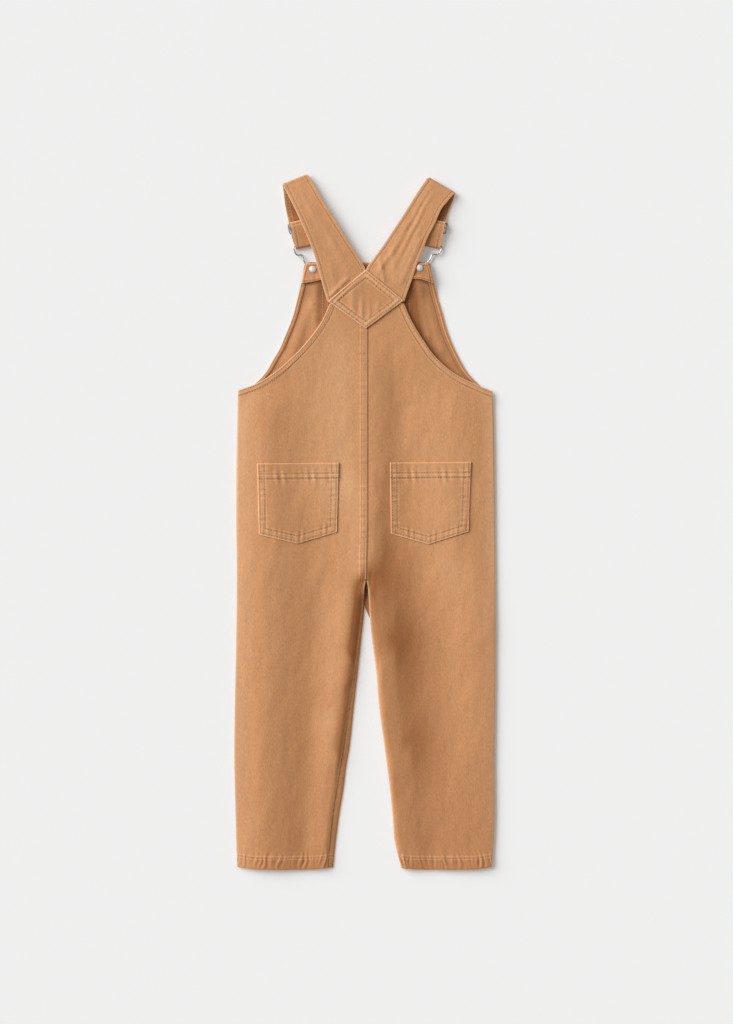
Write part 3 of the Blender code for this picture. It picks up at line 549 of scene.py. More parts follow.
def ankle_puckers(x, hem, side):
    """The slanting puckers that the ankle hem's stitches draw up, like a loosely laid rope."""
    sign = SIGN[side]
    slant = x + sign * 0.18 * hem + 0.0016 * np.sin(x * 85 + sign) + 0.0009 * np.sin(x * 260 + hem * 300)
    rope = puckers(slant, 0.0060, 11 if side == "left" else 12)
    rope = rope + 0.55 * puckers(slant + 0.001, 0.0036, 15) * ease((ANKLE_HEM - hem) / 0.002)
    rope = rope * bell(hem, 0.0105, 0.0095)
    return rope * (0.75 + 0.25 * np.sin(x * 140 + sign * 2)) * ease((0.022 - hem) / 0.008)


# %% [markdown]
# ## Back panels
# Each half now gets its heights, its fading and its distances, and becomes a shell. Only the left
# half carries the raised band of the felled seam, because it laps over the right one.

# %% Back panels
def build_back(side):
    sign = SIGN[side]
    x, y, end = back_points(side)
    edge = away_from(armhole_line[side], x, y)
    hem = y - end[None, :]
    seam_at = np.where(y > CROTCH, centre_seam(y), 9.0)
    seam = np.where(y > CROTCH, np.abs(seam_at - x), FAR)
    inner = np.abs(x - x_of(inseam_line[side], y))
    outer = np.abs(x - x_of(outer_line[side], y))
    height = back_height(x, y)
    free = ease(outer / 0.02) * (1 - ease((y - 0.19) / 0.03))
    height = height + waviness(x, y, uneven) * free
    # Armhole hem: a proud band that rounds off at its edge and sinks at its stitches.
    hem_wide = 0.0070 - 0.0025 * ease((y - 0.15) / 0.07)
    band = ease((hem_wide - edge) / 0.0010)
    height = height + HEM_PROUD * band - 0.0005 * bell(edge, 0.0, 0.0005)
    height = height + 0.00012 * puckers(x * 1.2 + y * sign, 0.0070, 8) * band
    # Ankle hem: proud, rounded at the fold and drawn up in puckers.
    turned = ease((ANKLE_HEM - hem) / 0.0012)
    rope = ankle_puckers(x, hem, side)
    height = height + turned * 0.0006 + 0.00080 * rope
    height = height - 0.0007 * bell(hem, 0.0, 0.0007)
    near_seam = puckers(y, SEAM_PUCKER, 3) * np.where(y > CROTCH, bell(seam, 0.004, 0.006), 0.0)
    # Tone: the back's painted light and shade, the puckers' wear with painted highlight and shade, and a
    # deeper hem band.
    tone = painted_shading(x, y) + 1.15 * rope - 0.18 * turned + 0.55 * near_seam * (side == "left")
    tone = tone + 0.25 * puckers(x * 1.2 + y * sign, 0.0070, 8) * band
    if side == "left":
        height = height + np.where(y > CROTCH, seam_profile(seam, y), 0.0)
    else:
        ripple = 0.00014 * puckers(y, SEAM_PUCKER, 3) * bell(seam, 0.0, 0.004)
        height = height + np.where(y > CROTCH, ripple, 0.0)
    height = np.maximum(height, 0.0021)
    piece = shell(f"cloth_back_{side}", x, y, height, height - CLOTH, edge=edge, hem=hem,
                  seam=np.where(x < seam_at, seam, -seam),
                  along=np.minimum(outer, np.where(y < CROTCH, inner, FAR)), tone=tone)
    return piece


backs = {side: build_back(side) for side in ("left", "right")}
for side, piece in backs.items():
    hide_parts(f"back_{side}")

# %% [markdown]
# ## The front
# The front lies flat on the table with the whole garment on it, so it needs little form. On the left
# leg its inner edge rolls up past the fold and meets the back at the inseam, which shows as a narrow
# rounded strip, the lip, beside the seam. Just under the crotch the right front fills the notch.

# %% Front panels
FRONT_LIE = 0.0012  # top of the front, a cloth's thickness above the table
FRONT_END = -0.3826


def front_lines(side, y):
    """Where the front's outer edge, its seam, its fold and its inner end run at each height."""
    sign = SIGN[side]
    left = x_of(outer_line[side], y) - sign * 0.0005
    under = np.where(y > CROTCH, centre_seam(y), x_of(inseam_line[side], y)) + sign * GAP / 2
    tip = np.where(y > CROTCH, under, x_of(fold_line[side], y))
    if side == "left":
        return left, under, tip, under
    # The front's crotch point is cut lower than the back's and shows in the notch.
    other = x_of(inseam_line["left"], y) + 0.0005
    notch = ease((y + 0.110) / 0.022) * (y < CROTCH)
    return left, under, tip, under + (np.minimum(other, under) - under) * notch


def rolled_lip(under, tip, y):
    """Points and heights of the rounded strip between the inseam and the fold."""
    lip = np.array([0.04, 0.12, 0.22, 0.34, 0.46, 0.58, 0.70, 0.80, 0.88, 0.94, 0.98, 1.0])
    strip = np.abs(tip - under)[:, None]
    x = under[:, None] + 0.0002 + (strip - 0.0002) * lip
    x = np.maximum(x, under[:, None] + 0.00005 * np.arange(1, 13))
    size = ease((strip - 0.0004) / 0.003)
    roll = np.sqrt(np.maximum(1.0 - lip**2, 0.0))
    ripple = 0.00018 * puckers(y, 0.011, 21)[:, None] * roll
    return x, FRONT_LIE + size * (0.0019 * roll - 0.0004) + ripple * size


def build_front(side):
    sign = SIGN[side]
    y = np.concatenate([np.linspace(WAIST - GAP, CROTCH, 60), np.linspace(CROTCH, FRONT_END, 130)[1:]])
    left, under, tip, stop = front_lines(side, y)
    x = left[:, None] + (stop - left)[:, None] * np.linspace(0.0, 1.0, 40)
    top = np.full(x.shape, FRONT_LIE)
    if side == "left":
        x_lip, top_lip = rolled_lip(under, tip, y)
        x, top = np.hstack([x, x_lip]), np.hstack([top, top_lip])
    grid_y = np.repeat(y[:, None], x.shape[1], axis=1)
    share = np.clip((x - left[:, None]) / (under - left)[:, None], 0.0, 1.0)
    end = read_table(share, LEG_END) + 0.0004
    down = np.clip((grid_y - CROTCH) / (FRONT_END - CROTCH), 0.0, None)
    grid_y = np.where(grid_y < CROTCH, CROTCH + (end - CROTCH) * down, grid_y)
    hem = grid_y - end
    top = top + 0.0003 * ease((ANKLE_HEM - hem) / 0.001) * (np.abs(x - tip[:, None]) < 0.0075)
    bottom = np.where(top > 0.0016, np.minimum(top - CLOTH, 0.0009), 0.0)
    # The inner edge shows from above and is painted with shade, deepest in the notch under the crotch.
    # The rest is only seen from below, and carries the same painted light and shade as the back.
    near = ease(1.0 + (under[:, None] - x) * sign / 0.012)
    notch_shade = 2.0 * ease((grid_y + 0.125) / 0.03) * ease((-0.050 - grid_y) / 0.010)
    tone = (0.8 * painted_shading(x, grid_y) - 0.1) * (1.0 - near) - (0.45 + notch_shade) * near
    from_inner = x - under[:, None]
    seam = np.where(grid_y > CROTCH, sign * from_inner, FAR)
    along = np.where(grid_y < CROTCH, np.abs(from_inner), FAR)
    along = np.minimum(np.abs(x - left[:, None]), along)
    piece = shell(f"cloth_front_{side}", x, grid_y, top, bottom, hem=hem, tone=tone, along=along,
                  seam=seam if side == "left" else -seam)
    return piece


fronts = {side: build_front(side) for side in ("left", "right")}
for side, piece in fronts.items():
    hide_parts(f"front_{side}")
    print(piece.name, len(piece.data.polygons), "faces")

# %% [markdown]
# ## The bib, its facing and its pocket
# Between the armhole edges of the back the inside of the bib shows, with its side hems turned in
# and the facing strip along the top. The buttons under its corners hold it several millimetres
# up, and it sags to the table between and below them. The bib's pocket is on its outer side, against
# the table, and only its outline presses through.

# %% Bib outline and height
BIB_EDGE = {
    "left": (
        (-0.0662, 0.2825), (-0.0673, 0.2783), (-0.0680, 0.2739), (-0.0702, 0.2607),
        (-0.0746, 0.2431), (-0.0779, 0.2299), (-0.0823, 0.2167), (-0.0878, 0.2035),
        (-0.0933, 0.1903), (-0.1010, 0.1771), (-0.1087, 0.1639), (-0.1185, 0.1529),
        (-0.1317, 0.1419), (-0.1391, WAIST),
    ),
    "right": (
        (0.0721, 0.2825), (0.0726, 0.2783), (0.0730, 0.2739), (0.0765, 0.2607),
        (0.0809, 0.2431), (0.0849, 0.2299), (0.0884, 0.2167), (0.0926, 0.2035),
        (0.0981, 0.1903), (0.1047, 0.1771), (0.1124, 0.1639), (0.1223, 0.1529),
        (0.1333, 0.1419), (0.1401, WAIST),
    ),
}
BIB_TOP = 0.2842
BIB_LIE = 0.0012  # top of the bib where it lies flat on the table
BIB_HEM = 0.0055  # width of its side hems
BIB_ROWS = (0.0012, 0.0046)  # two rows of stitches on each of them
BIB_CORNER = 0.0042  # radius of the bib's upper corners
FACING_END = (
    # x, y
    (-0.0700, 0.2609), (-0.0570, 0.2624), (-0.0482, 0.2646), (0.0530, 0.2657),
    (0.0607, 0.2657), (0.0662, 0.2640), (0.0762, 0.2607),
)
BIB_POCKET = {"middle": 0.0013, "half": 0.0495, "bottom": 0.1600, "top": 0.2535}
BUTTON_AT = {"left": (-0.0571, 0.2762), "right": (0.0602, 0.2778)}
BUTTON_LIFT = 0.0048  # a button and its tack under the cloth
bib_line = {side: smooth_line(points) for side, points in BIB_EDGE.items()}


def bib_lift(x, y):
    """How far the buttons and the pocket lift the bib off the table."""
    beside = np.maximum(np.abs(x - BIB_POCKET["middle"]) - BIB_POCKET["half"] - 0.004, 0.0)
    beyond = np.maximum(np.maximum(BIB_POCKET["bottom"] - 0.004 - y, y - BIB_POCKET["top"] - 0.004), 0.0)
    on_pocket = 0.0016 * (1.0 - ease(np.hypot(beside, beyond) / 0.014))
    held = np.zeros(np.shape(x))
    for cx, cy in BUTTON_AT.values():
        away = np.hypot(x - cx, y - cy)
        held = np.maximum(held, BUTTON_LIFT * (1.0 - ease((away - 0.0100) / 0.030)))
    return np.hypot(on_pocket, held)


BIB_FOLDS = (
    # x and y at the upper end, x and y at the lower end, width to the left, to the right, height
    (-0.058, 0.240, -0.083, 0.175, 0.008, 0.005, 0.0012),
    (0.058, 0.262, 0.070, 0.205, 0.006, 0.005, 0.0013),
    (0.067, 0.240, 0.084, 0.190, 0.006, 0.005, 0.0010),
    (-0.052, 0.262, -0.054, 0.225, 0.006, 0.005, 0.0008),
)
BIB_PAINTED_SHADE = (
    # x and y at the upper end, x and y at the lower end, width to the left, to the right, painted shade
    (0.050, 0.262, 0.056, 0.208, 0.020, 0.007, -1.7),
    (0.056, 0.208, 0.088, 0.166, 0.012, 0.006, -0.8),
    (-0.050, 0.262, -0.051, 0.222, 0.004, 0.020, -0.9),
    (-0.067, 0.250, -0.090, 0.190, 0.003, 0.004, -0.5),
)
bib_across = float(x_of(bib_line["right"], 0.28) - x_of(bib_line["left"], 0.28))
print("bib across at its top:", round(bib_across, 3), "m")

# %% [markdown]
# ## Sewing the bib together
# The bib is a sheet that follows the lift, with its creases drawn over it and a painted highlight on
# their tops. The side hems are turned in, so a band along each side stands proud, with a line of
# painted shade in the groove beside it. The whole bib is painted darker as shade, most over its right
# half and where the back and the diamond shade it, and a painted shadow lies under the facing.

# %% Bib
def build_bib():
    y = np.concatenate([BIB_TOP - close_steps(0.012, 0.0003, 1.3, 0.0016),
                        np.linspace(0.2715, WAIST, 95)])
    left, right = x_of(bib_line["left"], y), x_of(bib_line["right"], y)
    into_corner = np.clip((y - BIB_TOP + BIB_CORNER) / BIB_CORNER, 0, 1)
    inset = 0.8 * BIB_CORNER * (1 - np.sqrt(np.clip(1 - into_corner**2, 0, 1)))
    left, right = left + inset, right - inset
    side = np.array([0.0, 0.0004, 0.0009, 0.0016, 0.0026, 0.0036, 0.0046, 0.0052, 0.0055, 0.0058,
                     0.0062, 0.0070])
    width = (right - left)[:, None]
    inner = np.linspace(0.0, 1.0, 90)[None, 1:-1] * (width - 0.0140) + 0.0070
    across = np.hstack([np.repeat(side[None], len(y), 0), inner, width - side[None, ::-1]])
    x = left[:, None] + across
    grid_y = np.repeat(y[:, None], x.shape[1], axis=1)
    edge = np.minimum(across, width - across)
    top = bib_lift(x, grid_y) + BIB_LIE
    inside = ease(edge / 0.012) * ease((grid_y - 0.14) / 0.03)
    top = top + (ridge_sum(x, grid_y, BIB_FOLDS) + 0.8 * waviness(x, grid_y, uneven)) * inside
    band = ease((BIB_HEM + 0.0002 - edge) / 0.0005)
    ripple = 0.00010 * puckers(grid_y, 0.0065, 31) * bell(edge, 0.004, 0.003)
    top = top + (HEM_PROUD + 0.0002) * band - 0.0005 * bell(edge, 0.0, 0.0005) + ripple
    bottom = np.maximum(top - CLOTH - band * HEM_PROUD, 0.0)
    bottom = np.minimum(bottom, bib_lift(x, grid_y) + BIB_LIE)
    folds = ridge_sum(x, grid_y, BIB_FOLDS) * inside
    # Painted light and shade: darker all over and more on the right, a highlight on the creases, shade in
    # the hem's groove, and the bands where the back and the diamond shade the bib.
    tone = -0.28 - 0.35 * ease((x + 0.02) / 0.05) * ease((edge - 0.004) / 0.004) + 260 * folds
    tone = tone + 0.25 * puckers(grid_y, 0.0065, 31) * band
    tone = tone - 1.3 * bell(edge, BIB_HEM + 0.0007, 0.0008)
    for *line, amount in BIB_PAINTED_SHADE:
        tone = tone + amount * soft_band(x, grid_y, *line)
    low_y = read_table(x, FACING_END)
    # Painted shadow under the facing's lower edge.
    tone = tone - 1.2 * bell(low_y - grid_y, 0.0012, 0.0020)
    piece = shell("cloth_bib", x, grid_y, top, bottom, edge=edge, hem=BIB_TOP - grid_y, tone=tone)
    return piece


bib = build_bib()
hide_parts("bib")
print(bib.name, len(bib.data.polygons), "faces")

# %% [markdown]
# ## Facing and bib pocket
# The facing is a strip that finishes the bib's top edge inside. It follows the bib's lift one layer
# higher. The bib's pocket lies under the bib, flat on the table, with its lower corners cut off.

# %% Facing and bib pocket
FACING_DEEP = 0.022  # from the bib's top edge to the facing's lower one


def facing_height(x, y):
    """The facing's own thickness over the bib's hem."""
    return bib_lift(x, y) + BIB_LIE + HEM_PROUD + GAP + 0.0010


def build_facing():
    down = close_steps(1.0, 0.02, 1.25, 0.06)
    down = np.concatenate([down[down < 0.88], 1.0 - close_steps(0.12, 0.012, 1.5, 0.05)[::-1]])
    share = np.linspace(0.0, 1.0, 150)
    top_y = BIB_TOP - 0.0009
    x_top = -0.0638 + (0.0699 + 0.0638) * share
    x_low = -0.0693 + (0.0757 + 0.0693) * share
    low_y = read_table(x_low, FACING_END)
    bow = 0.0009 * np.sin(math.pi * down)[:, None] * (1 - 2 * share)[None, :]
    x = x_top + (x_low - x_top) * down[:, None] - bow
    y = top_y + (low_y - top_y) * down[:, None]
    side = np.minimum(share, 1 - share) * 0.145
    from_top, from_low = down[:, None] * FACING_DEEP, (1 - down)[:, None] * FACING_DEEP
    ends = np.minimum(np.minimum(from_low, from_top + 0.0004), side[None, :])
    top = facing_height(x, y) + 0.0009 * ease((down - 0.55) / 0.4)[:, None]
    top = top - 0.00035 * bell(ends, 0.0, 0.0006)
    top = top + 0.00012 * puckers(x, 0.006, 41) * bell(ends, 0.003, 0.003)
    # Painted shade: darker all over, more on the right, and a deep painted shadow in the gap between the
    # straps. The puckers are paler on top and darker between, partly wear and partly painted light and
    # shade.
    tone = -0.15 - 0.35 * ease((x + 0.02) / 0.05) - 2.2 * bell(x, 0.0, 0.011)
    tone = tone + 0.70 * puckers(x + 0.6 * y, 0.009, 43) * bell(ends, 0.003, 0.005)
    piece = shell("cloth_facing", x, y, top, top - 0.0009, edge=np.minimum(side[None, :], from_top),
                  hem=from_low + 0 * x, tone=tone)
    return piece


def build_bib_pocket():
    middle, half = BIB_POCKET["middle"], BIB_POCKET["half"]
    y = np.linspace(BIB_POCKET["top"], BIB_POCKET["bottom"], 40)
    narrow = 0.008 * ease((BIB_POCKET["bottom"] + 0.010 - y) / 0.010)
    x = middle + np.linspace(-1, 1, 44)[None, :] * (half - narrow)[:, None]
    grid_y = np.repeat(y[:, None], x.shape[1], axis=1)
    edge = np.minimum((half - narrow)[:, None] - np.abs(x - middle), grid_y - BIB_POCKET["bottom"])
    piece = shell("cloth_bib_pocket", x, grid_y, np.full(x.shape, 0.0011), np.zeros(x.shape), edge=edge,
                  hem=BIB_POCKET["top"] - grid_y)
    return piece


facing, bib_pocket = build_facing(), build_bib_pocket()
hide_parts("bib_facing")
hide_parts("bib_pocket")
print(facing.name, len(facing.data.polygons), "faces;", bib_pocket.name, len(bib_pocket.data.polygons))

# %% [markdown]
# ## Back pockets
# A patch pocket is sewn on through all layers, so its edges are pulled down and its field between
# the stitches swells a little. The top hem is three layers thick and drawn into waves by its two
# rows of stitches. The pocket is built over the back's own height so that it follows the ridges.

# %% Back pockets
BACK_POCKET = {
    # top outer, top inner, bottom inner, point, bottom outer
    "left": ((-0.1183, 0.0631), (-0.0284, 0.0641), (-0.0305, -0.0122), (-0.0740, -0.0249),
             (-0.1162, -0.0150)),
    "right": ((0.1168, 0.0650), (0.0276, 0.0641), (0.0287, -0.0139), (0.0701, -0.0255),
              (0.1139, -0.0116)),
}
POCKET_ROWS = (0.0022, 0.0078)  # two rows of stitches inside the edge
POCKET_HEM_ROWS = (0.0115, 0.0168)  # and two along the top hem, measured from the top
LOW_EDGE_TILT = 0.93  # cosine of the slope of a pocket's pointed lower edge


def pocket_points(side):
    """Points of a pocket, and how far each lies from the sides, the lower edge and the top."""
    top_out, top_in, low_in, point, low_out = (np.array(p) for p in BACK_POCKET[side])
    fine = close_steps(0.5, 0.005, 1.3, 0.016)
    share = np.concatenate([fine, 1.0 - fine[::-1][1:]])
    down = np.concatenate([close_steps(0.22, 0.004, 1.2, 0.010), 0.22 + np.linspace(0, 0.68, 50)[1:],
                           1.0 - close_steps(0.10, 0.004, 1.3, 0.014)[::-1][1:]])
    outline_top = top_out + (top_in - top_out) * share[:, None]
    half = np.clip(share * 2, 0, 1)[:, None]
    rest = np.clip(share * 2 - 1, 0, 1)[:, None]
    outline_low = np.where(share[:, None] <= 0.5, low_out + (point - low_out) * half,
                           point + (low_in - point) * rest)
    grid = outline_top[None] + (outline_low - outline_top)[None] * down[:, None, None]
    x, y = grid[:, :, 0], grid[:, :, 1]
    wide = float(np.linalg.norm(top_out - top_in))
    from_side = np.minimum(share, 1 - share)[None, :] * wide + 0 * x
    from_low = (1 - down)[:, None] * (outline_top[:, 1] - outline_low[:, 1])[None, :] * LOW_EDGE_TILT
    return x, y, from_side, from_low, outline_top[None, :, 1] - y


def build_pocket(side):
    x, y, from_side, from_low, from_top = pocket_points(side)
    edge = np.minimum(from_side, from_low)
    seed = 50 if side == "left" else 60
    base = back_height(x, y) + waviness(x, y, uneven) + 0.0004 + 0.0010
    swell = 0.0006 * ease(edge / 0.020) * ease((from_top - 0.012) / 0.02)
    sewn = -0.00035 * bell(edge, 0.0, 0.0007) - 0.00016 * bell(edge, POCKET_ROWS[0], 0.0007)
    sewn = sewn - 0.00018 * bell(edge, POCKET_ROWS[1], 0.0008)
    hem_band = ease((0.0178 - from_top) / 0.0016)
    hem = 0.0007 * hem_band - 0.0004 * bell(from_top, 0.0, 0.0007)
    hem = hem - 0.00022 * bell(from_top, POCKET_HEM_ROWS[0], 0.0009)
    hem = hem - 0.00024 * bell(from_top, POCKET_HEM_ROWS[1], 0.0009)
    drawn = 0.00026 * puckers(x + 0.15 * y, 0.0085, seed) * bell(from_top, 0.015, 0.008)
    drawn = drawn + 0.00020 * puckers(x, 0.0062, seed + 1) * bell(from_low, 0.006, 0.006)
    drawn = drawn + 0.00016 * puckers(y, 0.0066, seed + 2) * bell(from_side, 0.006, 0.005)
    fine_drawn = puckers(x + y, 0.0042, seed + 3) * bell(edge, 0.0075, 0.0045)
    drawn = drawn * 2.5 + 0.00018 * fine_drawn
    height = base + swell + sewn + hem + drawn
    # The back's painted light and shade, and puckers paler on top and darker between, partly wear and
    # partly painted light and shade.
    tone = painted_shading(x, y) + 0.05 + 900 * drawn
    piece = shell(f"cloth_pocket_{side}", x, y, height, height - 0.0010, edge=edge, hem=from_top, tone=tone)
    return piece


pockets = {side: build_pocket(side) for side in ("left", "right")}
for side, piece in pockets.items():
    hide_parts(f"pocket_{side}")
    print(piece.name, len(piece.data.polygons), "faces")

# %% [markdown]
# ## The yoke patch
# The diamond covers the raw ends of the straps and the top of the back. The thick seam and the strap
# edges under it press through as soft vertical ridges. The ridges, the puckers and the raised border
# are painted paler on their tops, partly as wear and partly as a painted highlight, and washing has
# worn its corners pale.

# %% Yoke patch
YOKE = {"left": (-0.0406, 0.2411), "top": (0.0011, 0.2758), "right": (0.0427, 0.2418),
        "bottom": (0.0011, 0.2111)}
YOKE_ROWS = (0.0020, 0.0064)  # two rows of stitches inside the edge
YOKE_STEP = 0.0500  # distance between two opposite sides of the diamond
YOKE_HALF = 0.0252  # from its middle to the middle of a side


def build_yoke():
    left, top, right, bottom = (np.array(YOKE[key]) for key in ("left", "top", "right", "bottom"))
    fine = close_steps(0.5, 0.006, 1.3, 0.024)
    step = np.concatenate([fine, 1.0 - fine[::-1][1:]])
    along, down = np.meshgrid(step, step)
    upper = left + (top - left) * along[..., None]
    lower = bottom + (right - bottom) * along[..., None]
    grid = upper + (lower - upper) * down[..., None]
    x, y = grid[..., 0], grid[..., 1]
    edge = np.minimum(np.minimum(along, 1 - along), np.minimum(down, 1 - down)) * YOKE_STEP
    base = yoke_height(x, y) + HEM_PROUD + 0.0004 + 0.0009
    pressed = 0.00045 * bell(x, -0.0035, 0.0022) * ease((0.252 - y) / 0.02)
    pressed = pressed + 0.00030 * bell(x, 0.0050, 0.0018) * ease((0.246 - y) / 0.02)
    pressed = pressed + 0.00030 * bell(x, 0.0140, 0.0030) * ease((0.250 - y) / 0.02)
    pressed = pressed + 0.00035 * bell(x, -0.0140, 0.0040) * ease((0.262 - y) / 0.02)
    sewn = -0.00045 * bell(edge, 0.0, 0.0006) - 0.00022 * bell(edge, YOKE_ROWS[0], 0.0006)
    sewn = sewn - 0.00024 * bell(edge, YOKE_ROWS[1], 0.0008)
    border = 0.0004 * ease((0.0072 - edge) / 0.001)
    drawn = 0.00016 * puckers(x - y, 0.0066, 71) * bell(edge, 0.0045, 0.004)
    drawn = drawn + 0.00016 * puckers(x + y, 0.0066, 72) * bell(edge, 0.0045, 0.004)
    pressed = pressed * 2.0 * ease((edge - 0.005) / 0.004)
    height = base + pressed + sewn + border + drawn * 2.0
    # Ridges, puckers and the border are paler on top, partly wear and partly a painted highlight; the
    # corners are worn pale.
    tone = -0.15 + 700 * pressed + 1700 * drawn + 0.45 * ease((0.0060 - edge) / 0.002)
    for corner in (left, top, right, bottom):
        tone = tone + 0.9 * bell(np.hypot(x - corner[0], y - corner[1]), 0.0, 0.011)
    piece = shell("cloth_yoke", x, y, height, height - 0.0010, edge=edge, tone=tone)
    return piece


yoke = build_yoke()
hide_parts("yoke_patch")
print(yoke.name, len(yoke.data.polygons), "faces")

# %% [markdown]
# ## The straps
# Each strap starts under the yoke patch, runs up to the shoulder, rolls over, and comes back under
# itself through the slider, round the buckle's bar and up again to cap the slider. It is a ribbon: a
# row of stations, each with its two edge points, read through a smooth curve and thickened with a
# Solidify modifier. A ribbon made so can't stretch or tear at its tight turns.

# %% Strap stations
STRAP_OVER = {
    # outer x, outer y, outer z, inner x, inner y, inner z
    "left": (
        (-0.0409, 0.2411, 0.00655, 0.0010, 0.2404, 0.0061),
        (-0.0451, 0.2552, 0.00775, 0.0010, 0.2574, 0.0064),
        (-0.0495, 0.2712, 0.00915, 0.0010, 0.2748, 0.0068),
        (-0.0538, 0.2866, 0.00930, -0.0072, 0.2899, 0.0073),
        (-0.0585, 0.3007, 0.00940, -0.0172, 0.3051, 0.0078),
        (-0.0648, 0.3162, 0.00960, -0.0266, 0.3203, 0.0083),
        (-0.0713, 0.3313, 0.00940, -0.0367, 0.3366, 0.0086),
        (-0.0779, 0.3450, 0.00820, -0.0465, 0.3522, 0.0080),
        (-0.0838, 0.3571, 0.00680, -0.0539, 0.3656, 0.0069),
        (-0.0895, 0.3679, 0.00560, -0.0622, 0.3797, 0.0056),
    ),
    "right": (
        (0.0431, 0.2409, 0.00655, 0.0014, 0.2404, 0.0061),
        (0.0481, 0.2552, 0.00775, 0.0014, 0.2574, 0.0064),
        (0.0532, 0.2695, 0.00915, 0.0014, 0.2748, 0.0068),
        (0.0581, 0.2844, 0.00930, 0.0094, 0.2877, 0.0073),
        (0.0636, 0.2976, 0.00940, 0.0192, 0.3009, 0.0078),
        (0.0695, 0.3124, 0.00960, 0.0290, 0.3157, 0.0083),
        (0.0768, 0.3262, 0.00940, 0.0391, 0.3307, 0.0086),
        (0.0832, 0.3410, 0.00820, 0.0492, 0.3469, 0.0080),
        (0.0899, 0.3500, 0.00680, 0.0585, 0.3619, 0.0069),
        (0.0974, 0.3586, 0.00560, 0.0684, 0.3762, 0.0056),
    ),
}
STRAP_UNDER = {
    "left": (
        (-0.0900, 0.3668, 0.00100, -0.0628, 0.3762, 0.00100),
        (-0.0892, 0.3597, 0.00095, -0.0612, 0.3673, 0.00095),
        (-0.0876, 0.3465, 0.00095, -0.0593, 0.3529, 0.00095),
        (-0.0852, 0.3350, 0.00130, -0.0568, 0.3409, 0.00130),
        (-0.0839, 0.3295, 0.00310, -0.0555, 0.3354, 0.00310),
        (-0.0823, 0.3220, 0.00310, -0.0539, 0.3279, 0.00310),
        (-0.0807, 0.3145, 0.00310, -0.0523, 0.3204, 0.00310),
        (-0.0793, 0.3090, 0.00170, -0.0509, 0.3149, 0.00170),
        (-0.0780, 0.3045, 0.00095, -0.0496, 0.3104, 0.00095),
        (-0.0764, 0.3013, 0.00095, -0.0480, 0.3072, 0.00095),
    ),
    "right": (
        (0.0986, 0.3577, 0.00100, 0.0724, 0.3723, 0.00100),
        (0.0965, 0.3509, 0.00095, 0.0691, 0.3618, 0.00095),
        (0.0921, 0.3394, 0.00095, 0.0643, 0.3475, 0.00095),
        (0.0904, 0.3345, 0.00130, 0.0622, 0.3409, 0.00130),
        (0.0888, 0.3290, 0.00310, 0.0605, 0.3348, 0.00310),
        (0.0871, 0.3217, 0.00310, 0.0588, 0.3275, 0.00310),
        (0.0854, 0.3142, 0.00310, 0.0571, 0.3200, 0.00310),
        (0.0843, 0.3088, 0.00170, 0.0560, 0.3146, 0.00170),
        (0.0834, 0.3042, 0.00095, 0.0551, 0.3100, 0.00095),
        (0.0829, 0.3017, 0.00095, 0.0546, 0.3075, 0.00095),
    ),
}
STRAP_RETURN = (
    # distance from the buckle's bar, height
    (0.0070, 0.0057), (0.0140, 0.0067), (0.0195, 0.0072), (0.0225, 0.0072), (0.0250, 0.0067),
    (0.0268, 0.0056),
)
BUCKLE_BAR = 0.0031  # height of the wire that the strap turns round
STRAP_ON_TABLE = 0.00095  # height of the strap's middle where it lies on the table


# %% [markdown]
# ## From stations to a ribbon
# The upper stretch and the lower one are curves through their stations. Between them the ribbon rolls
# over at the shoulder in half a turn, pushed out square to the fold. At the other end it goes round
# the buckle's bar and lies back over itself. Each stretch starts where the one before it stops, so
# the distance along the strap runs through all of them and the stitches can follow it.

# %% Strap path
def strap_rails(side):
    """Outer and inner rail of the whole strap, and the index where each stretch starts."""
    over, under = np.array(STRAP_OVER[side]), np.array(STRAP_UNDER[side])
    outer, inner = through(over[:, :3], 10), through(over[:, 3:], 10)
    inner[:, 0] = np.minimum(inner[:, 0], 0.0010) if side == "left" else np.maximum(inner[:, 0], 0.0014)
    starts = {"fold": len(outer)}
    fold = inner[-1] - outer[-1]
    push = np.array([-fold[1], fold[0], 0.0])
    push = push / np.linalg.norm(push) * (1 if push[1] > 0 else -1)
    radius = (outer[-1, 2] - under[0, 2]) / 2
    share = np.linspace(0, 1, 15)[1:-1, None]
    angle = math.pi * share
    shift = push * np.sin(angle) * radius
    shift[:, 2:] += radius * (np.cos(angle) - 1 + 2 * share)
    roll = [a + (b - a) * share + shift for a, b in ((outer[-1], under[0, :3]), (inner[-1], under[0, 3:]))]
    starts["under"] = starts["fold"] + len(share)
    low_outer, low_inner = through(under[:, :3], 4), through(under[:, 3:], 4)
    across = (low_outer[-1] - low_inner[-1])[:2]
    half = np.linalg.norm(across) / 2
    across = across / np.linalg.norm(across)
    down = np.array([across[1], -across[0]])
    down = down if down[1] < 0 else -down
    middle = (low_outer[-1] + low_inner[-1])[:2] / 2
    starts["turn"] = starts["under"] + len(low_outer)
    bars = [np.array([*(middle + across * half * s), BUCKLE_BAR]) for s in (1, -1)]
    angles = np.radians(np.linspace(15, 180, 12))[:, None]
    around = np.hstack([down * np.sin(angles), -np.cos(angles)]) * (BUCKLE_BAR - STRAP_ON_TABLE)
    starts["return"] = starts["turn"] + len(angles)
    back = through(np.array([(0.0, 2 * BUCKLE_BAR - STRAP_ON_TABLE), *STRAP_RETURN]), 4)[1:]
    back = np.hstack([-down * back[:, :1], back[:, 1:] - BUCKLE_BAR])
    rails = []
    for first, bend, low, bar in zip((outer, inner), roll, (low_outer, low_inner), bars):
        rails.append(np.vstack([first, bend, low, bar + around, bar + back]))
    return rails[0], rails[1], starts


# %% [markdown]
# ## Creases of the straps
# A strap that has been folded and washed keeps soft creases along its length, and the right one is
# wrinkled where it was pulled. They are heights added to the ribbon, and the same heights pale it,
# partly as wear and partly as a painted highlight on their tops.

